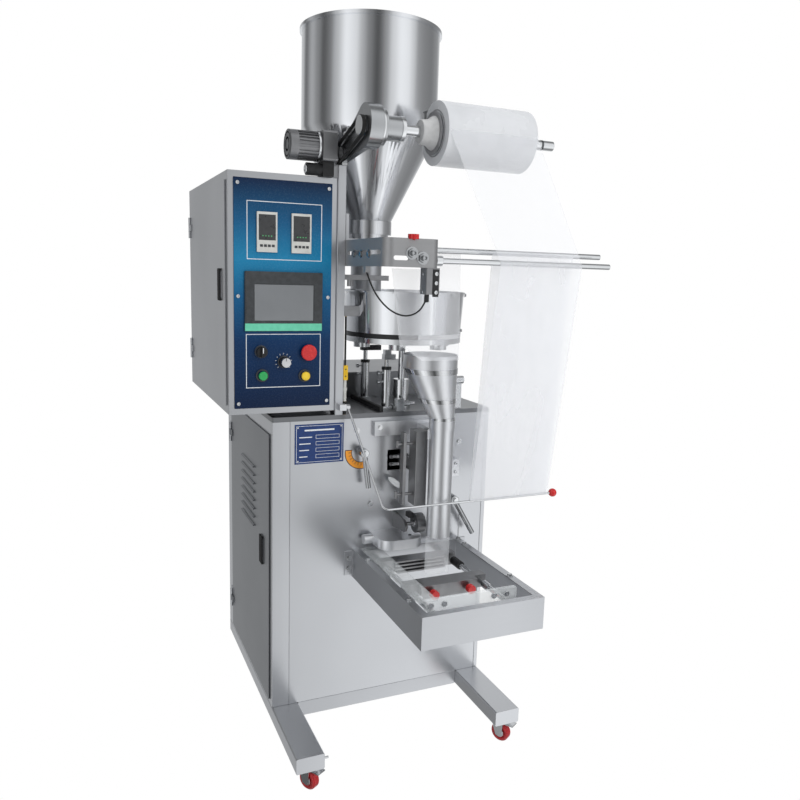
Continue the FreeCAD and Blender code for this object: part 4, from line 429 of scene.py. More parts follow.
def plain_gloss(name, dark, light, rough, metallic=0.0, coat=0.0, bump=0.03, size=90.0):
    tree, shader = blank_finish(name)
    shader.inputs["Metallic"].default_value = metallic
    shader.inputs["Coat Weight"].default_value = coat
    speck = noise_of(tree, (size, size, size), 1.0, 4.0)
    tree.links.new(mixed(tree, speck, dark, light), shader.inputs["Base Color"])
    tree.links.new(between(tree, speck, rough * 0.85, rough * 1.2), shader.inputs["Roughness"])
    bumped(tree, shader, speck, bump, 0.0003)


def banded_alloy(name, height):
    """Cast alloy above a height in metres and black rubber below it."""
    tree, shader = blank_finish(name)
    place = tree.nodes.new("ShaderNodeTexCoord")
    apart = tree.nodes.new("ShaderNodeSeparateXYZ")
    tree.links.new(place.outputs["Object"], apart.inputs["Vector"])
    above = tree.nodes.new("ShaderNodeMath")
    above.operation = "GREATER_THAN"
    above.inputs[1].default_value = height
    tree.links.new(apart.outputs["Z"], above.inputs[0])
    speck = noise_of(tree, (60, 60, 60), 1.0, 4.0)
    tone = tree.nodes.new("ShaderNodeMix")
    tone.data_type = "RGBA"
    tone.inputs["A"].default_value = (0.01, 0.01, 0.011, 1)
    tree.links.new(mixed(tree, speck, (0.34, 0.34, 0.345), (0.42, 0.42, 0.43)), tone.inputs["B"])
    tree.links.new(above.outputs["Value"], tone.inputs["Factor"])
    tree.links.new(tone.outputs["Result"], shader.inputs["Base Color"])
    tree.links.new(above.outputs["Value"], shader.inputs["Metallic"])
    tree.links.new(between(tree, speck, 0.34, 0.46), shader.inputs["Roughness"])
    bumped(tree, shader, speck, 0.02, 0.0001)


def clear_film(name, tint, alpha, rough):
    """Thin clear film: faint milky tone that varies a little, and bright where it turns away."""
    tree, shader = blank_finish(name)
    cloud = noise_of(tree, (5, 5, 2), 1.0, 3.0)
    tree.links.new(mixed(tree, cloud, tuple(c * 0.93 for c in tint), tint), shader.inputs["Base Color"])
    shader.inputs["Roughness"].default_value = rough
    tree.links.new(between(tree, cloud, alpha * 0.85, alpha * 1.15), shader.inputs["Alpha"])
    shader.inputs["Specular IOR Level"].default_value = 0.6


def fascia_blue(name, low, high):
    """Printed panel: deep blue at its foot and head and a lighter glow across its upper half."""
    tree, shader = blank_finish(name)
    place = tree.nodes.new("ShaderNodeTexCoord")
    apart = tree.nodes.new("ShaderNodeSeparateXYZ")
    tree.links.new(place.outputs["Object"], apart.inputs["Vector"])
    height = tree.nodes.new("ShaderNodeMapRange")
    height.inputs["From Min"].default_value = low
    height.inputs["From Max"].default_value = high
    tree.links.new(apart.outputs["Z"], height.inputs["Value"])
    ramp = tree.nodes.new("ShaderNodeValToRGB")
    steps = ((0.0, (0.002, 0.012, 0.045)), (0.3, (0.003, 0.03, 0.1)), (0.5, (0.006, 0.1, 0.24)),
             (0.66, (0.012, 0.2, 0.38)), (0.82, (0.006, 0.09, 0.21)), (1.0, (0.002, 0.014, 0.05)))
    stops = ramp.color_ramp.elements
    while len(stops) < len(steps):
        stops.new(0.5)
    for stop, (position, colour) in zip(stops, steps):
        stop.position = position
        stop.color = (*colour, 1)
    tree.links.new(height.outputs["Result"], ramp.inputs["Fac"])
    tree.links.new(ramp.outputs["Color"], shader.inputs["Base Color"])
    shader.inputs["Specular IOR Level"].default_value = 0.22
    grain = noise_of(tree, (400, 400, 400), 1.0, 2.0)
    tree.links.new(between(tree, grain, 0.22, 0.3), shader.inputs["Roughness"])
    bumped(tree, shader, grain, 0.02, 0.0001)


def make_finishes():
    brushed_steel("brushed sheet", (9, 9, 300), (0.57, 0.58, 0.6), (0.64, 0.65, 0.67), 0.32, 0.335)
    brushed_steel("panel steel", (9, 9, 300), (0.62, 0.63, 0.65), (0.66, 0.67, 0.69), 0.276, 0.281)
    # The front's stainless painted much darker: painted shade on the side panels and the left door.
    brushed_steel("shaded side steel", (9, 9, 300), (0.26, 0.27, 0.285), (0.31, 0.32, 0.335), 0.32, 0.335)
    # The same stainless painted darker still: painted shade on the top deck.
    brushed_steel("shaded deck steel", (9, 9, 9), (0.22, 0.225, 0.235), (0.26, 0.265, 0.275), 0.3, 0.36)
    brushed_steel("tray steel", (9, 9, 300), (0.56, 0.57, 0.59), (0.62, 0.63, 0.65), 0.32, 0.34)
    brushed_steel("brushed bar", (40, 9, 40), (0.45, 0.46, 0.47), (0.5, 0.51, 0.52), 0.22, 0.25)
    brushed_steel("polished sheet", (60, 60, 2), (0.8, 0.81, 0.83), (0.87, 0.88, 0.9), 0.14, 0.18)
    brushed_steel("polished bar", (20, 20, 20), (0.7, 0.71, 0.72), (0.78, 0.79, 0.8), 0.1, 0.15)
    brushed_steel("tube steel", (120, 120, 3), (0.88, 0.89, 0.91), (0.93, 0.94, 0.96), 0.36, 0.42)
    brushed_steel("dark steel", (90, 60, 90), (0.14, 0.145, 0.15), (0.2, 0.205, 0.21), 0.28, 0.4)
    brushed_steel("cast alloy", (60, 60, 60), (0.3, 0.3, 0.305), (0.38, 0.38, 0.39), 0.34, 0.48)
    plain_gloss("black plastic", (0.008, 0.008, 0.009), (0.02, 0.02, 0.021), 0.45)
    plain_gloss("black rubber", (0.012, 0.012, 0.012), (0.03, 0.03, 0.03), 0.7, bump=0.2)
    plain_gloss("stop red", (0.5, 0.008, 0.01), (0.62, 0.015, 0.015), 0.25, coat=0.4)
    plain_gloss("wheel red", (0.38, 0.012, 0.015), (0.5, 0.02, 0.025), 0.35, coat=0.2)
    plain_gloss("go green", (0.01, 0.3, 0.07), (0.02, 0.4, 0.1), 0.25, coat=0.4)
    plain_gloss("jog yellow", (0.75, 0.5, 0.015), (0.85, 0.6, 0.03), 0.28, coat=0.4)
    plain_gloss("switch yellow", (0.7, 0.42, 0.01), (0.82, 0.52, 0.02), 0.4)
    plain_gloss("arc orange", (0.85, 0.3, 0.02), (0.9, 0.36, 0.03), 0.4)
    plain_gloss("print white", (0.72, 0.74, 0.76), (0.8, 0.82, 0.84), 0.45)
    plain_gloss("case grey", (0.03, 0.033, 0.036), (0.05, 0.054, 0.058), 0.4)
    plain_gloss("key grey", (0.35, 0.36, 0.37), (0.45, 0.46, 0.47), 0.5)
    plain_gloss("case pale", (0.55, 0.55, 0.52), (0.63, 0.63, 0.6), 0.45)
    plain_gloss("screen grey", (0.16, 0.17, 0.18), (0.22, 0.23, 0.24), 0.12, coat=0.6, bump=0.0, size=4.0)
    plain_gloss("screen green", (0.02, 0.1, 0.085), (0.03, 0.14, 0.12), 0.3)
    plain_gloss("digit red", (0.8, 0.06, 0.03), (0.9, 0.09, 0.05), 0.4)
    plain_gloss("digit green", (0.1, 0.7, 0.2), (0.15, 0.8, 0.28), 0.4)
    plain_gloss("plate blue", (0.008, 0.03, 0.13), (0.012, 0.045, 0.18), 0.45)
    # Near black painted shade for the inside of the door handle recesses.
    plain_gloss("painted recess shade", (0.004, 0.004, 0.005), (0.012, 0.012, 0.013), 0.8)
    plain_gloss("roll white", (0.6, 0.61, 0.63), (0.66, 0.67, 0.69), 0.25, coat=0.3, bump=0.02, size=12.0)
    plain_gloss("core grey", (0.2, 0.2, 0.21), (0.28, 0.28, 0.29), 0.5)
    plain_gloss("collar white", (0.5, 0.5, 0.5), (0.57, 0.57, 0.57), 0.4)
    brushed_steel("hopper steel", (60, 60, 2), (0.78, 0.79, 0.81), (0.84, 0.85, 0.87), 0.15, 0.18)
    brushed_steel("wall steel", (9, 120, 120), (0.5, 0.5, 0.505), (0.56, 0.56, 0.565), 0.56, 0.62)
    plain_gloss("window dark", (0.03, 0.031, 0.033), (0.045, 0.046, 0.048), 0.3)
    plain_gloss("strip green", (0.12, 0.55, 0.36), (0.16, 0.62, 0.42), 0.35)
    plain_gloss("dial chrome", (0.7, 0.7, 0.71), (0.8, 0.8, 0.81), 0.12, metallic=1.0)
    banded_alloy("hood alloy", 1.14)
    clear_film("web film", (0.9, 0.91, 0.94), 0.2, 0.12)
    clear_film("loop film", (0.88, 0.89, 0.92), 0.3, 0.12)
    clear_film("bag film", (0.94, 0.95, 0.97), 0.5, 0.1)
    clear_film("clear acrylic", (0.84, 0.87, 0.88), 0.3, 0.06)


# The pieces


class StageLook(bpy.types.PropertyGroup):
    floor_tone: bpy.props.FloatProperty(name="Floor tone", description="How pale the floor is", default=0.9,
                                        min=0.0, max=1.0)
    lens: bpy.props.FloatProperty(name="Lens", description="Focal length of the camera", default=33.97,
                                  min=10.0, unit="CAMERA")
    heading: bpy.props.FloatProperty(name="Heading", description="Turn of the camera towards the right",
                                     default=math.radians(23.81), subtype="ANGLE")
    pitch: bpy.props.FloatProperty(name="Pitch", description="Downward tilt of the camera",
                                   default=math.radians(9.5), subtype="ANGLE")
    roll: bpy.props.FloatProperty(name="Roll", description="Roll of the camera", default=math.radians(1.69),
                                  subtype="ANGLE")


class PACKER_OT_stage(bpy.types.Operator):
    """Pale floor, soft studio light and the camera"""

    bl_idname = "packer.stage"
    bl_label = "Stage"

    def execute(self, context):
        look = context.scene.packer_stage
        clear_selection()
        bpy.ops.mesh.primitive_plane_add(size=40, location=(0, 0, 0))
        floor = bpy.context.object
        floor.name = "floor"
        tree, shader = blank_finish("floor paint")
        tone = look.floor_tone
        speck = noise_of(tree, (2, 2, 2), 1.0, 3.0)
        tree.links.new(mixed(tree, speck, (tone * 0.99,) * 3, (tone,) * 3), shader.inputs["Base Color"])
        shader.inputs["Roughness"].default_value = 0.6
        path = tree.nodes.new("ShaderNodeLightPath")
        glow = tree.nodes.new("ShaderNodeEmission")
        glow.inputs["Color"].default_value = (1, 1, 1, 1)
        either = tree.nodes.new("ShaderNodeMixShader")
        tree.links.new(path.outputs["Is Camera Ray"], either.inputs["Fac"])
        tree.links.new(shader.outputs["BSDF"], either.inputs[1])
        tree.links.new(glow.outputs["Emission"], either.inputs[2])
        tree.links.new(either.outputs["Shader"], tree.nodes["Material Output"].inputs["Surface"])
        paint(floor, "floor paint")
        floor.visible_glossy = False
        self.light(context)
        self.camera(context, look)
        context.scene.view_settings.view_transform = "Standard"
        return {"FINISHED"}

    def light(self, context):
        for name, place, size, power in (
            ("key softbox", (0.9, -4.0, 2.6), 2.4, 66),
            ("fill softbox", (3.6, -1.6, 2.2), 2.6, 34),
            ("top softbox", (0.2, 0.2, 4.4), 2.4, 46),
            ("rear softbox", (1.4, 3.4, 2.8), 2.4, 40),
        ):
            clear_selection()
            bpy.ops.object.light_add(type="AREA", location=place)
            lamp = bpy.context.object
            lamp.name = name
            lamp.data.size = size
            lamp.data.energy = power
            lamp.visible_glossy = False
            aim = Vector((0, 0, 0.95)) - Vector(place)
            lamp.rotation_euler = aim.to_track_quat("-Z", "Y").to_euler()
        world = bpy.data.worlds.new("studio")
        context.scene.world = world
        world.use_nodes = True
        tree = world.node_tree
        back = tree.nodes["Background"]
        direction = tree.nodes.new("ShaderNodeTexCoord")
        apart = tree.nodes.new("ShaderNodeSeparateXYZ")
        tree.links.new(direction.outputs["Generated"], apart.inputs["Vector"])
        heading = tree.nodes.new("ShaderNodeMath")
        heading.operation = "ARCTAN2"
        tree.links.new(apart.outputs["Y"], heading.inputs[0])
        tree.links.new(apart.outputs["X"], heading.inputs[1])
        round_trip = tree.nodes.new("ShaderNodeMapRange")
        round_trip.inputs["From Min"].default_value = -math.pi
        round_trip.inputs["From Max"].default_value = math.pi
        tree.links.new(heading.outputs["Value"], round_trip.inputs["Value"])
        bands = tree.nodes.new("ShaderNodeValToRGB")
        bands.color_ramp.interpolation = "EASE"
        stops = bands.color_ramp.elements
        while len(stops) < len(STUDIO_BANDS):
            stops.new(0.5)
        for stop, (angle, tone) in zip(stops, STUDIO_BANDS):
            stop.position = (angle + 180) / 360
            stop.color = (tone * 0.97, tone * 0.985, tone, 1)
        tree.links.new(round_trip.outputs["Result"], bands.inputs["Fac"])
        depth = tree.nodes.new("ShaderNodeMapRange")
        depth.inputs["From Min"].default_value = LOW_DIRECTION
        depth.inputs["From Max"].default_value = 0.0
        depth.inputs["To Min"].default_value = LOW_GAIN
        tree.links.new(apart.outputs["Z"], depth.inputs["Value"])
        deeper = tree.nodes.new("ShaderNodeVectorMath")
        deeper.operation = "SCALE"
        tree.links.new(bands.outputs["Color"], deeper.inputs[0])
        tree.links.new(depth.outputs["Result"], deeper.inputs["Scale"])
        path = tree.nodes.new("ShaderNodeLightPath")
        lit = tree.nodes.new("ShaderNodeMix")
        lit.data_type = "RGBA"
        lit.inputs["A"].default_value = (0.55, 0.56, 0.57, 1)
        tree.links.new(path.outputs["Is Glossy Ray"], lit.inputs["Factor"])
        tree.links.new(deeper.outputs["Vector"], lit.inputs["B"])
        seen = tree.nodes.new("ShaderNodeMath")
        seen.operation = "MAXIMUM"
        tree.links.new(path.outputs["Is Camera Ray"], seen.inputs[0])
        tree.links.new(path.outputs["Is Transmission Ray"], seen.inputs[1])
        white = tree.nodes.new("ShaderNodeMix")
        white.data_type = "RGBA"
        white.inputs["B"].default_value = (1, 1, 1, 1)
        tree.links.new(seen.outputs["Value"], white.inputs["Factor"])
        tree.links.new(lit.outputs["Result"], white.inputs["A"])
        tree.links.new(white.outputs["Result"], back.inputs["Color"])
        back.inputs["Strength"].default_value = 1.0

    def camera(self, context, look):
        clear_selection()
        bpy.ops.object.camera_add(location=spot(-458.4, -1828.4, 1271.3))
        camera = bpy.context.object
        camera.data.sensor_width = 36
        camera.data.lens = look.lens
        h, p, r = look.heading, look.pitch, look.roll
        ahead = Vector((math.sin(h) * math.cos(p), math.cos(h) * math.cos(p), -math.sin(p)))
        right = Vector((math.cos(h), -math.sin(h), 0))
        up = right.cross(ahead)
        turned_right = right * math.cos(r) + up * math.sin(r)
        turned_up = up * math.cos(r) - right * math.sin(r)
        turn = Matrix((turned_right, turned_up, -ahead)).transposed()
        camera.rotation_euler = turn.to_euler()
        context.scene.camera = camera


class PACKER_OT_finishes(bpy.types.Operator):
    """Mixes every finish and paints the frame's own nodes"""

    bl_idname = "packer.finishes"
    bl_label = "Finishes"

    def execute(self, context):
        make_finishes()
        for node in NODES.values():
            paint(node, "brushed sheet")
        return {"FINISHED"}


class PACKER_OT_cord(bpy.types.Operator):
    """The film sensor's cord, hanging from its gland to the clip under the bracket"""

    bl_idname = "packer.cord"
    bl_label = "Sensor cord"

    def execute(self, context):
        route = [
            (298, -248, 1218), (293, -243, 1198), (281, -231, 1181), (263, -214, 1173), (243, -194, 1179),
            (225, -176, 1195), (210, -160, 1218), (199, -148, 1244), (191, -140, 1272),
        ]
        curve = bpy.data.curves.new("sensor_cord_line", "CURVE")
        curve.dimensions = "3D"
        spline = curve.splines.new("NURBS")
        spline.points.add(len(route) - 1)
        for point, place in zip(spline.points, route):
            point.co = (*spot(*place), 1)
        spline.order_u = 3
        spline.use_endpoint_u = True
        spline.resolution_u = 12
        curve.bevel_depth = 0.002
        curve.bevel_resolution = 4
        curve.use_fill_caps = True
        cord = bpy.data.objects.new("sensor_cord_line", curve)
        context.scene.collection.objects.link(cord)
        curve.materials.append(FINISHES["black rubber"])
        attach(cord, "machine")
        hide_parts("sensor_cord")
        return {"FINISHED"}


class PACKER_OT_housings(bpy.types.Operator):
    """Sheet housings, frames and panels with softened folds"""

    bl_idname = "packer.housings"
    bl_label = "Housings"

    def execute(self, context):
        for node in ("cross_rails", "hinge_leaves", "control_box", "column"):
            dressed(node, "brushed sheet", 0.0012)
        for node in ("skids", "cabinet_frame", "front_panel"):
            dressed(node, "panel steel", 0.0012)
        # The side panels take the steel painted darker as shade.
        dressed("body_panels", "shaded side steel", 0.0012)
        # The top deck takes the steel painted darker as shade.
        dressed("top_deck", "shaded deck steel", 0.0012)
        dressed("seal_box", "tray steel", 0.0012)
        # The left door takes the steel painted darker as shade.
        dressed("cabinet_door", "shaded side steel", 0.0008)
        dressed("control_box_door", "brushed sheet", 0.0008)
        dressed("fascia", "panel blue", 0.0005)
        return {"FINISHED"}


class PACKER_OT_works(bpy.types.Operator):
    """Turned, cast and bright working parts"""

    bl_idname = "packer.works"
    bl_label = "Working parts"

    def execute(self, context):
        finishes = {
            "film_arm": ("brushed bar", 0.0012), "feed_motor": ("cast alloy", 0.0008),
            "motor_clamp": ("black plastic", 0.001), "feed_belt": ("black rubber", 0.0004),
            "film_bracket": ("wall steel", 0.0008), "guide_rods": ("polished bar", 0.0006),
            "film_eye": ("cast alloy", 0.0008), "table_switch": ("switch yellow", 0.0008),
            "hopper_saddle": ("brushed sheet", 0.0006), "hood_fittings": ("hood alloy", 0.0008),
            "support_posts": ("polished bar", 0.0006), "comb_bar": ("black plastic", 0.0004),
            "panel_fittings": ("tube steel", 0.0012),
            "back_sealer": ("cast alloy", 0.001), "jaw_plate": ("clear acrylic", 0.001),
            "rear_jaw": ("cast alloy", 0.0008), "roll_shaft": ("polished bar", 0.0006),
            "motor_pulley": ("cast alloy", 0.0006), "turntable": ("polished bar", 0.0006),
            "front_jaw": ("cast alloy", 0.001), "red_knobs": ("stop red", 0.0012),
            "pull_roller": ("cast alloy", 0.0006), "left_lever": ("brushed bar", 0.001),
            "right_lever": ("brushed bar", 0.001), "dancer_bar": ("polished bar", 0.0004),
            "selector_knob": ("black plastic", 0.001), "speed_knob": ("black plastic", 0.001),
            "start_button": ("go green", 0.0008), "jog_button": ("jog yellow", 0.0008),
            "emergency_stop": ("stop red", 0.001), "instruments": ("case grey", 0.0008),
        }
        for node, (finish, bevel) in finishes.items():
            dressed(node, finish, bevel)
        for corner in ("front_left", "front_right", "rear_left", "rear_right"):
            dressed("castor_fork_" + corner, "polished bar", 0.0006)
            dressed("castor_wheel_" + corner, "wheel red", 0.0008)
        return {"FINISHED"}


class PACKER_OT_vessels(bpy.types.Operator):
    """Hopper, turntable drum, forming tube and film roll"""

    bl_idname = "packer.vessels"
    bl_label = "Vessels"

    def execute(self, context):
        dressed("hopper", "hopper steel", 0.0, 30.0)
        dressed("turntable_hood", "polished sheet", 0.0, 30.0)
        dressed("forming_tube", "tube steel", 0.0, 30.0)
        dressed("film_roll", "roll white", 0.0015, 30.0)
        return {"FINISHED"}


class PACKER_OT_film(bpy.types.Operator):
    """The clear film on its way from the roll to the forming tube"""

    bl_idname = "packer.film"
    bl_label = "Film"

    def execute(self, context):
        dressed("film_web", "web film")
        dressed("film_loop", "loop film")
        return {"FINISHED"}


class PACKER_OT_fascia(bpy.types.Operator):
    """Printed frames, screen, controllers, bezels and screws of the control panel"""

    bl_idname = "packer.fascia"
    bl_label = "Control panel"

    def execute(self, context):
        frames = merged([outline_frame(-63, 123, 1295, 1432, -3, 1.7, 0.25),
                         outline_frame(-66, 123, 983, 1116, -3, 1.7, 0.25)])
        fit(frames, "panel_frames", "print white", "machine")
        screws = [screw_head(spot(x, -3, z), AHEAD, 0.0045, 0.0025) for x in (-85, 140) for z in SCREW_ROWS]
        fit(merged(screws), "panel_screws", "polished bar", "machine")
        fit(box_mm(-46, 101, -9.3, -8.4, 1149, 1236), "screen_pane", "screen grey", "machine")
        strip = box_mm(-69.5, 123.5, -10.4, -10, 1124, 1142)
        fit(strip, "screen_strip", "strip green", "machine")
        self.controllers()
        self.bezels()
        self.dials()
        return {"FINISHED"}

    def controllers(self):
        shells, windows, keys, lamps = [], [], [], []
        for x in (-39.5, 45.5):
            shells.append(box_mm(x - 0.3, x + 49.3, -9.4, -3, 1312.7, 1407.3, 0.0008))
            windows.append(box_mm(x + 4, x + 45, -9.8, -9.4, 1341, 1401))
            for index in range(4):
                key = x + 7 + index * 9.5
                keys.append(box_mm(key, key + 7, -10.2, -9.4, 1325, 1331, 0.0004))
                lamps.append(box_mm(x + 13 + index * 7, x + 15 + index * 7, -10, -9.8, 1350, 1352))
        fit(merged(shells), "controller_cases", "case pale", "machine")
        fit(merged(windows), "controller_windows", "window dark", "machine")
        fit(merged(keys), "controller_keys", "case grey", "machine")
        fit(merged(lamps), "controller_lamps", "digit green", "machine")

    def bezels(self):
        rings = []
        bores = {"selector_knob": 0.0088, "speed_knob": 0.0088, "start_button": 0.0123, "jog_button": 0.0123}
        for node, bore in bores.items():
            low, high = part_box(node)
            centre = (Vector(low) + Vector(high)) / 2
            lip = max(bore + 0.0012, 0.0125)
            profile = [(bore, 0), (lip, 0), (0.0158, 0.0016), (0.0158, 0.0052), (bore, 0.0052)]
            rings.append(turned(profile, Vector((centre.x, spot(0, -8.2, 0).y, centre.z)), 64, True, "Y"))
        fit(merged(rings), "button_bezels", "case grey", "machine")

    def dials(self):
        low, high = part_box("selector_knob")
        x, z = (low[0] + high[0]) / 2, (low[2] + high[2]) / 2
        front = low[1]
        pointer = block(Vector((x - 0.001, front - 0.0004, z - 0.002)), Vector((x + 0.001, front, z + 0.011)))
        fit(pointer, "selector_pointer", "print white", "selector_knob")
        low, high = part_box("speed_knob")
        x, z = (low[0] + high[0]) / 2, (low[2] + high[2]) / 2
        centre = Vector((x, low[1] - 0.0005, z))
        cap = round_bar(centre, centre + BACK * 0.0088, 0.0118, 48, 0.001)
        fit(cap, "speed_cap", "dial chrome", "speed_knob")
        mark = block(centre + Vector((-0.0007, -0.0004, 0.004)), centre + Vector((0.0007, 0, 0.011)))
        fit(mark, "speed_mark", "case grey", "speed_knob")
        face = spot(0, -3, 0).y
        tick = block(Vector((x - 0.0005, face - 0.0003, z + 0.018)), Vector((x + 0.0005, face, z + 0.0215)))
        turns = [math.radians(27 * index) for index in range(-5, 6) if index]
        ticks = ring_of(tick, Vector((x, face, z)), "Y", turns)
        fit(ticks, "speed_scale", "print white", "machine")


class PACKER_OT_plates(bpy.types.Operator):
    """Blank rating plate, lever scale and screws on the cabinet's front"""

    bl_idname = "packer.plates"
    bl_label = "Plates and panel screws"

    def execute(self, context):
        fit(box_mm(58, 190, -1, 0, 780, 884, 0.0003), "rating_plate", "plate blue", "machine")
        lines = [outline_frame(62, 186, 784, 880, -1, 0.9, 0.15), box_mm(84, 164, -1.15, -1, 866, 870)]
        for row in range(4):
            z = 850 - row * 17
            lines.append(box_mm(70, 104 - row * 4, -1.15, -1, z - 1.2, z + 1.2))
            lines.append(outline_frame(114, 178, z - 5, z + 5, -1, 0.8, 0.15))
        fit(merged(lines), "rating_plate_lines", "print white", "machine")
        pins = [screw_head(spot(x, -1, z), AHEAD, 0.0024, 0.0015) for x in (66, 182) for z in (788, 876)]
        fit(merged(pins), "rating_plate_pins", "polished bar", "machine")
        places = ((227, 859), (270, 657), (533, 812))
        bolts = [hex_head(spot(x, 0, z), AHEAD, 0.0062, 0.005) for x, z in places]
        bolts.append(hex_head(spot(287, -14, 868), AHEAD, 0.0052, 0.004))
        bolts += [screw_head(spot(515, -20, z), AHEAD, 0.0042, 0.003) for z in (730, 754)]
        fit(merged(bolts), "panel_bolts", "polished bar", "machine")
        for name, finish, inner, outer, proud in (("scale_edge", "case grey", 0.026, 0.046, 0.0006),
                                                  ("scale_band", "arc orange", 0.028, 0.044, 0.0009)):
            profile = [(inner, 0), (outer, 0), (outer, proud), (inner, proud)]
            band = turned(profile, spot(SCALE_X, 0, SCALE_Z) + AHEAD * proud, 96, True, "Y")
            band = kept_side(band, spot(250, 0, 801) + RIGHT * (0.028 - inner), RIGHT)
            band = kept_side(band, spot(240, 0, 807) + UP * (0.028 - inner), UP)
            fit(band, name, finish, "machine")
        tick = box_mm(204, 211, -1.1, -0.9, 800.4, 801.6)
        turns = [math.radians(-15 * index) for index in range(1, 7)]
        ticks = ring_of(tick, spot(SCALE_X, 0, SCALE_Z), "Y", turns)
        fit(ticks, "scale_ticks", "case grey", "machine")
        return {"FINISHED"}


class PACKER_OT_sealing(bpy.types.Operator):
    """Screws, bushes, covers and clamps round the sealing box, the sealer and the levers"""

    bl_idname = "packer.sealing"
    bl_label = "Sealing fittings"

    def execute(self, context):
        bolts = [hex_head(spot(x, y, 533), UP, 0.0062, 0.005)
                 for x, y in ((232, -92), (232, -348), (530, -301), (530, -61))]
        bolts += [hex_head(spot(x, -3, z), AHEAD, 0.006, 0.005) for x in (210, 552) for z in (481, 509)]
        fit(merged(bolts), "seal_box_bolts", "polished bar", "machine")
        low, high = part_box("jaw_plate")
        plate = [screw_head(Vector((spot(x, 0, 0).x, low[1], high[2] - 0.014)), AHEAD, 0.007, 0.004)
                 for x in (266, 300, 430, 464)]
        fit(merged(plate), "jaw_plate_bolts", "polished bar", "machine")
        fit(box_mm(242, 292, -378, -10, 534.5, 537), "rod_cover", "clear acrylic", "machine")
        ends = [round_bar(spot(x, -304, 508), spot(x, -274, 508), 0.0105, 40, 0.0008) for x in (279, 474)]
        fit(merged(ends), "jaw_bushes", "polished bar", "front_jaw")
        bush = round_bar(spot(279, -150, 508), spot(279, -106, 508), 0.0105, 40, 0.0008)
        fit(bush, "left_rod_bush", "polished bar", "machine")
        bush = round_bar(spot(474, -148, 508), spot(474, -106, 508), 0.0112, 40, 0.0008)
        fit(bush, "right_rod_bush", "black plastic", "machine")
        roller_low, roller_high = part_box("pull_roller")
        middle = (Vector(roller_low) + Vector(roller_high)) / 2
        left = Vector((roller_low[0], middle.y, middle.z))
        radius = (roller_high[2] - roller_low[2]) / 2 + 0.0004
        rim = knurled_head(left + RIGHT * 0.002, RIGHT, radius, 0.02, 36)
        fit(rim, "pull_roller_rim", "cast alloy", "pull_roller")
        bolt = hex_head(left, LEFT, 0.0075, 0.006)
        fit(bolt, "pull_roller_bolt", "polished bar", "pull_roller")
        clamp = box_mm(352, 366, -72, -50, 629, 643, 0.001)
        fit(clamp, "roller_clamp", "black plastic", "machine")
        fit(screw_head(spot(360, -66, 579), UP, 0.0045, 0.002), "tongue_screw", "dark steel", "machine")
        self.window()
        self.levers()
        return {"FINISHED"}

    def window(self):
        springs = [coil(spot(324, -9, z), spot(346, -9, z), 0.0045, 0.0009, 6) for z in (764, 784)]
        fit(merged(springs), "window_springs", "polished bar", "machine")
        works = [box_mm(346, 371, -16, -1, 757, 791, 0.001)]
        works += [round_bar(spot(320, -9, z), spot(346, -9, z), 0.002, 16) for z in (764, 784)]
        works += [hex_head(spot(322, -9, z), LEFT, 0.004, 0.003) for z in (764, 784)]
        fit(merged(works), "window_works", "cast alloy", "machine")
        clear_selection()
        bpy.ops.mesh.primitive_uv_sphere_add(segments=48, ring_count=24, radius=1,
                                             location=spot(333, -18, 714))
        grip = bpy.context.object
        grip.scale = (0.026, 0.005, 0.008)
        grip.rotation_euler = (0, math.radians(40), 0)
        settle(grip)
        stem = round_bar(spot(348, -18, 702), spot(348, 0, 702), 0.004, 24)
        fit(merged([grip, stem]), "cam_grip", "print white", "machine")

    def levers(self):
        for node, x, z in (("left_lever", 237, 806), ("right_lever", 508, 654)):
            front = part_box(node)[0][1]
            seat = Vector((spot(x, 0, 0).x, front, z * MM))
            fit(hex_head(seat, AHEAD, 0.0068, 0.005), node + "_bolt", "polished bar", node)
        pin = round_bar(spot(530, -24, 533), spot(530, -24, 628), 0.0014, 16)
        foot = hex_head(spot(530, -24, 533), UP, 0.006, 0.006)
        fit(merged([pin, foot]), "stop_pin", "polished bar", "machine")


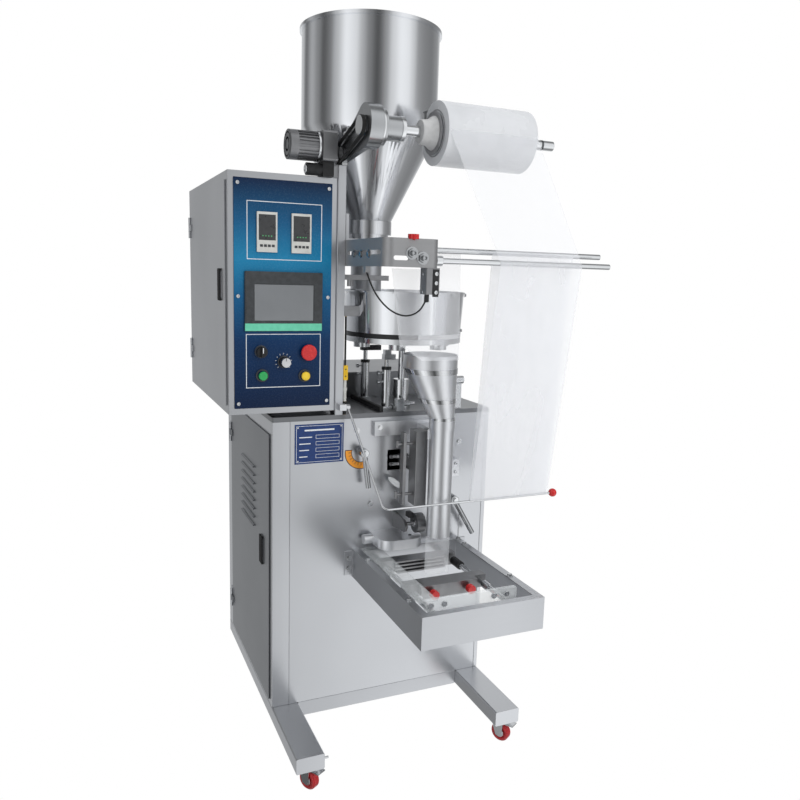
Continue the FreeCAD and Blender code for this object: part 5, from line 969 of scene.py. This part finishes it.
class PACKER_OT_feed(bpy.types.Operator):
    """Film arm, motor, roll and bracket fittings"""

    bl_idname = "packer.feed"
    bl_label = "Film feed fittings"

    def execute(self, context):
        low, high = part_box("film_roll")
        y, z = (low[1] + high[1]) / 2, (low[2] + high[2]) / 2
        left = Vector((low[0], y, z))
        profile = [(0.0125, -0.0408), (0.0262, -0.0408), (0.0275, -0.0395), (0.03, -0.02), (0.038, -0.009),
                   (0.0395, -0.0062), (0.0125, -0.0062)]
        cone = turned(profile, left, 96, True, "X")
        fit(cone, "left_cone", "collar white", "roll")
        profile = [(0.0395, -0.0072), (0.049, -0.0072), (0.0502, -0.006), (0.0395, -0.006)]
        ring = turned(profile, left, 96, True, "X")
        fit(ring, "core_ring", "core grey", "roll")
        profile = [(0.052, -0.0012), (0.0535, -0.0012), (0.0535, 0.0004), (0.052, 0.0004)]
        rim = turned(profile, left, 96, True, "X")
        fit(rim, "wound_edge", "core grey", "roll")
        top = left + Vector((-0.026, 0, 0.046))
        stem = round_bar(left + Vector((-0.026, 0, 0.024)), top, 0.0026, 20)
        bar = round_bar(top + AHEAD * 0.009, top + BACK * 0.009, 0.0022, 20)
        fit(merged([stem, bar]), "cone_screw", "dark steel", "roll")
        # A dark ring on the shaft stands for its groove: painted shade, no groove is cut.
        groove = round_bar(spot(645, -150, 1600), spot(651, -150, 1600), 0.0124, 48)
        fit(groove, "groove_painted_shade", "dark steel", "roll")
        self.arm()
        self.bracket()
        return {"FINISHED"}

    def arm(self):
        collars = [round_bar(spot(206, -150, 1600), spot(212, -150, 1600), 0.0438, 96, 0.0012),
                   round_bar(spot(258, -150, 1600), spot(268, -150, 1600), 0.0292, 96, 0.001)]
        fit(merged(collars), "bearing_rings", "polished bar", "machine")
        bolts = [hex_head(spot(172, y, z), LEFT, 0.0062, 0.005) for y, z in ((-52, 1606), (-30, 1598))]
        bolts += [hex_head(spot(172, 14, 1540), LEFT, 0.0055, 0.005)]
        fit(merged(bolts), "arm_bolts", "polished bar", "machine")
        low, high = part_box("feed_motor")
        end = Vector((low[0], spot(0, 6, 0).y, 1.569))
        cap = turned([(0.0, -0.001), (0.012, -0.001), (0.012, 0.0), (0.017, 0.0), (0.017, -0.0012),
                      (0.026, -0.0012), (0.026, 0.0), (0.029, 0.0), (0.029, -0.0012), (0.0335, -0.0012),
                      (0.034, 0.001), (0.0, 0.001)], end, 72, False, "X")
        fit(cap, "motor_end_cap", "dark steel", "machine")
        flange = round_bar(spot(107, 6, 1569), spot(112, 6, 1569), 0.0368, 72, 0.0006)
        fit(flange, "motor_flange", "polished bar", "machine")
        bolts = [hex_head(spot(152, y, z), RIGHT, 0.004, 0.003) for y in (-22, 34) for z in (1541, 1597)]
        fit(merged(bolts), "gearbox_bolts", "polished bar", "machine")
        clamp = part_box("motor_clamp")[0]
        end = Vector((clamp[0] - 0.0008, spot(0, 0, 0).y, 1.515))
        fit(screw_head(end + RIGHT * 0.0008, LEFT, 0.011, 0.003), "clamp_cap", "polished bar", "machine")

    def bracket(self):
        nuts = []
        for x, z in ((250, 1317), (277, 1307)):
            nuts.append(hex_head(spot(x, -265, z), AHEAD, 0.0108, 0.007))
            nuts.append(screw_head(spot(x, -272, z), AHEAD, 0.0065, 0.006))
        nuts += [hex_head(spot(185, y, 1315), LEFT, 0.0072, 0.005) for y in (-70, -118, -168)]
        fit(merged(nuts), "bracket_nuts", "brushed bar", "machine")
        stem = round_bar(spot(254, -262, 1346), spot(254, -262, 1349), 0.005, 24)
        head = knurled_head(spot(254, -262, 1348), UP, 0.0125, 0.011, 14)
        fit(merged([stem, head]), "bracket_knob", "stop red", "machine")
        strip = box_mm(304, 319, -266.4, -265, 1221, 1283, 0.0004)
        gland = round_bar(spot(298, -248, 1208), spot(298, -248, 1225), 0.0056, 32)
        fit(merged([strip, gland]), "eye_strip", "black plastic", "machine")
        screws = [screw_head(spot(311.5, -266.4, z), AHEAD, 0.0045, 0.003) for z in (1231, 1252, 1273)]
        screws += [screw_head(spot(288, -250, z), LEFT, 0.003, 0.002) for z in (1231, 1272)]
        fit(merged(screws), "eye_screws", "polished bar", "machine")


class PACKER_OT_dosing(bpy.types.Operator):
    """Bands, rings, sleeves and screws of the drum, the funnel and the posts"""

    bl_idname = "packer.dosing"
    bl_label = "Dosing fittings"

    def execute(self, context):
        bands = []
        for low, high in ((0.34, 0.42), (0.9, 1.0)):
            ends = []
            for t in (low, high):
                centre = spot(TUBE_X + FUNNEL_SHIFT_X * t, TUBE_Y + FUNNEL_SHIFT_Y * t, 905 + FUNNEL_RISE * t)
                ends += [centre, (31 + 39 * t + 0.3) * MM]
            bands.append(slanted_band(*ends, 0.0012))
        collar_low, collar_high = spot(TUBE_X, TUBE_Y, 893), spot(TUBE_X, TUBE_Y, 912)
        bands.append(slanted_band(collar_low, 0.0313, collar_high, 0.0313, 0.0016))
        fit(merged(bands), "funnel_bands", "polished bar", "machine")
        profile = [(0.1574, 0), (0.1586, 0), (0.1586, 0.0118), (0.1574, 0.0118)]
        ring = turned(profile, spot(DRUM_X, DRUM_Y, 1106.1), 128, True)
        ring = kept_side(ring, spot(352, 0, 0), LEFT)
        fit(ring, "clear_skirt", "bag film", "machine")
        profile = [(0.1628, 0), (0.1648, 0.0005), (0.1648, 0.003), (0.1628, 0.0035)]
        rim = turned(profile, spot(DRUM_X, DRUM_Y, 1222.5), 128, True)
        fit(rim, "drum_rim", "polished bar", "machine")
        bolts = []
        for angle in (-62, -28, 8):
            way = Vector((math.cos(math.radians(angle)), math.sin(math.radians(angle)), 0))
            bolts.append(hex_head(spot(DRUM_X, DRUM_Y, 1219) + way * 0.1645, way, 0.0045, 0.005))
            bolts.append(hex_head(spot(DRUM_X, DRUM_Y, 1124) + way * 0.157, way, 0.004, 0.005))
        fit(merged(bolts), "drum_bolts", "polished bar", "machine")
        posts = ((329, 215), (326, 46))
        rings = [round_bar(spot(x, y, 1014), spot(x, y, 1022), 0.0132, 40, 0.0006) for x, y in posts]
        rings.append(box_mm(315, 375, 206, 224, 1049.5, 1064.5, 0.001))
        fit(merged(rings), "post_rings", "black plastic", "machine")
        cable = round_bar(spot(191, 1, 1034), spot(191, 1, 1159.5), 0.0026, 20)
        fit(cable, "switch_cable", "black rubber", "machine")
        plug = round_bar(spot(191, 1, 940), spot(191, 1, 996), 0.0046, 32, 0.0006)
        nut = round_bar(spot(191, 1, 968), spot(191, 1, 976), 0.0062, 6)
        tail = round_bar(spot(191, 1, 905.2), spot(191, 1, 940), 0.0044, 20)
        fit(merged([plug, nut]), "switch_plug", "case pale", "machine")
        fit(tail, "switch_tail", "black rubber", "machine")
        dots = [screw_head(spot(191, -5, z), AHEAD, 0.0018, 0.001, 16) for z in (1006, 1024)]
        fit(merged(dots), "switch_dots", "case grey", "machine")
        return {"FINISHED"}


class PACKER_OT_running(bpy.types.Operator):
    """Castor caps, painted shade in the door handle recesses, dancer ball and skid pin"""

    bl_idname = "packer.running"
    bl_label = "Castor and door fittings"

    def execute(self, context):
        axle = Vector((math.cos(math.radians(-149)), math.sin(math.radians(-149)), 0))
        for corner in ("front_left", "front_right", "rear_left", "rear_right"):
            node = "castor_wheel_" + corner
            low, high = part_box(node)
            centre = (Vector(low) + Vector(high)) / 2
            caps = []
            for side in (-1, 1):
                inner, outer = centre + axle * side * 0.0105, centre + axle * side * 0.0125
                caps.append(round_bar(inner, outer, 0.0125, 40, 0.0005))
            fit(merged(caps), "castor_caps_" + corner, "polished bar", BODY_OF[node])
        # Dark pads set into the door handle recesses: painted shade.
        for node, x, y, z in (("cabinet_door", -3.5, 84, 487), ("control_box_door", -111.5, 65, 1193)):
            pad = box_mm(x - 4.7, x - 0.2, y - 0.5, y + 30.5, z - 0.5, z + 78.5, 0.004)
            fit(pad, node + "_handle_shade", "painted recess shade", node)
        low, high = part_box("dancer_bar")
        ball_at = Vector((high[0] - 0.011, spot(0, -172, 0).y, low[2] + 0.011))
        clear_selection()
        bpy.ops.mesh.primitive_uv_sphere_add(segments=48, ring_count=24, radius=0.0114, location=ball_at)
        fit(settle(bpy.context.object), "dancer_ball", "stop red", "dancer")
        pin = round_bar(spot(72, -222, 92), spot(86, -222, 92), 0.003, 20, 0.0004)
        fit(pin, "skid_pin", "polished bar", "machine")
        return {"FINISHED"}


class PACKER_PT_panel(bpy.types.Panel):
    """Lists the machine's pieces"""

    bl_idname = "PACKER_PT_panel"
    bl_label = "Packing Machine"
    bl_space_type = "VIEW_3D"
    bl_region_type = "UI"
    bl_category = "Packing Machine"

    def draw(self, context):
        for operator in OPERATORS:
            self.layout.operator(operator.bl_idname)


OPERATORS = (
    PACKER_OT_stage,
    PACKER_OT_finishes,
    PACKER_OT_cord,
    PACKER_OT_housings,
    PACKER_OT_works,
    PACKER_OT_vessels,
    PACKER_OT_film,
    PACKER_OT_fascia,
    PACKER_OT_plates,
    PACKER_OT_sealing,
    PACKER_OT_feed,
    PACKER_OT_dosing,
    PACKER_OT_running,
)
CLASSES = (StageLook, PACKER_PT_panel) + OPERATORS


def register():
    for cls in CLASSES:
        bpy.utils.register_class(cls)
    bpy.types.Scene.packer_stage = bpy.props.PointerProperty(type=StageLook)


def unregister():
    del bpy.types.Scene.packer_stage
    for cls in reversed(CLASSES):
        bpy.utils.unregister_class(cls)


def main():
    register()
    fascia_low, fascia_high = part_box("fascia")
    fascia_blue("panel blue", fascia_low[2], fascia_high[2])
    bpy.ops.packer.stage()
    bpy.ops.packer.finishes()
    bpy.ops.packer.cord()
    bpy.ops.packer.housings()
    bpy.ops.packer.works()
    bpy.ops.packer.vessels()
    bpy.ops.packer.film()
    bpy.ops.packer.fascia()
    bpy.ops.packer.plates()
    bpy.ops.packer.sealing()
    bpy.ops.packer.feed()
    bpy.ops.packer.dosing()
    bpy.ops.packer.running()


if __name__ == "__main__":
    main()
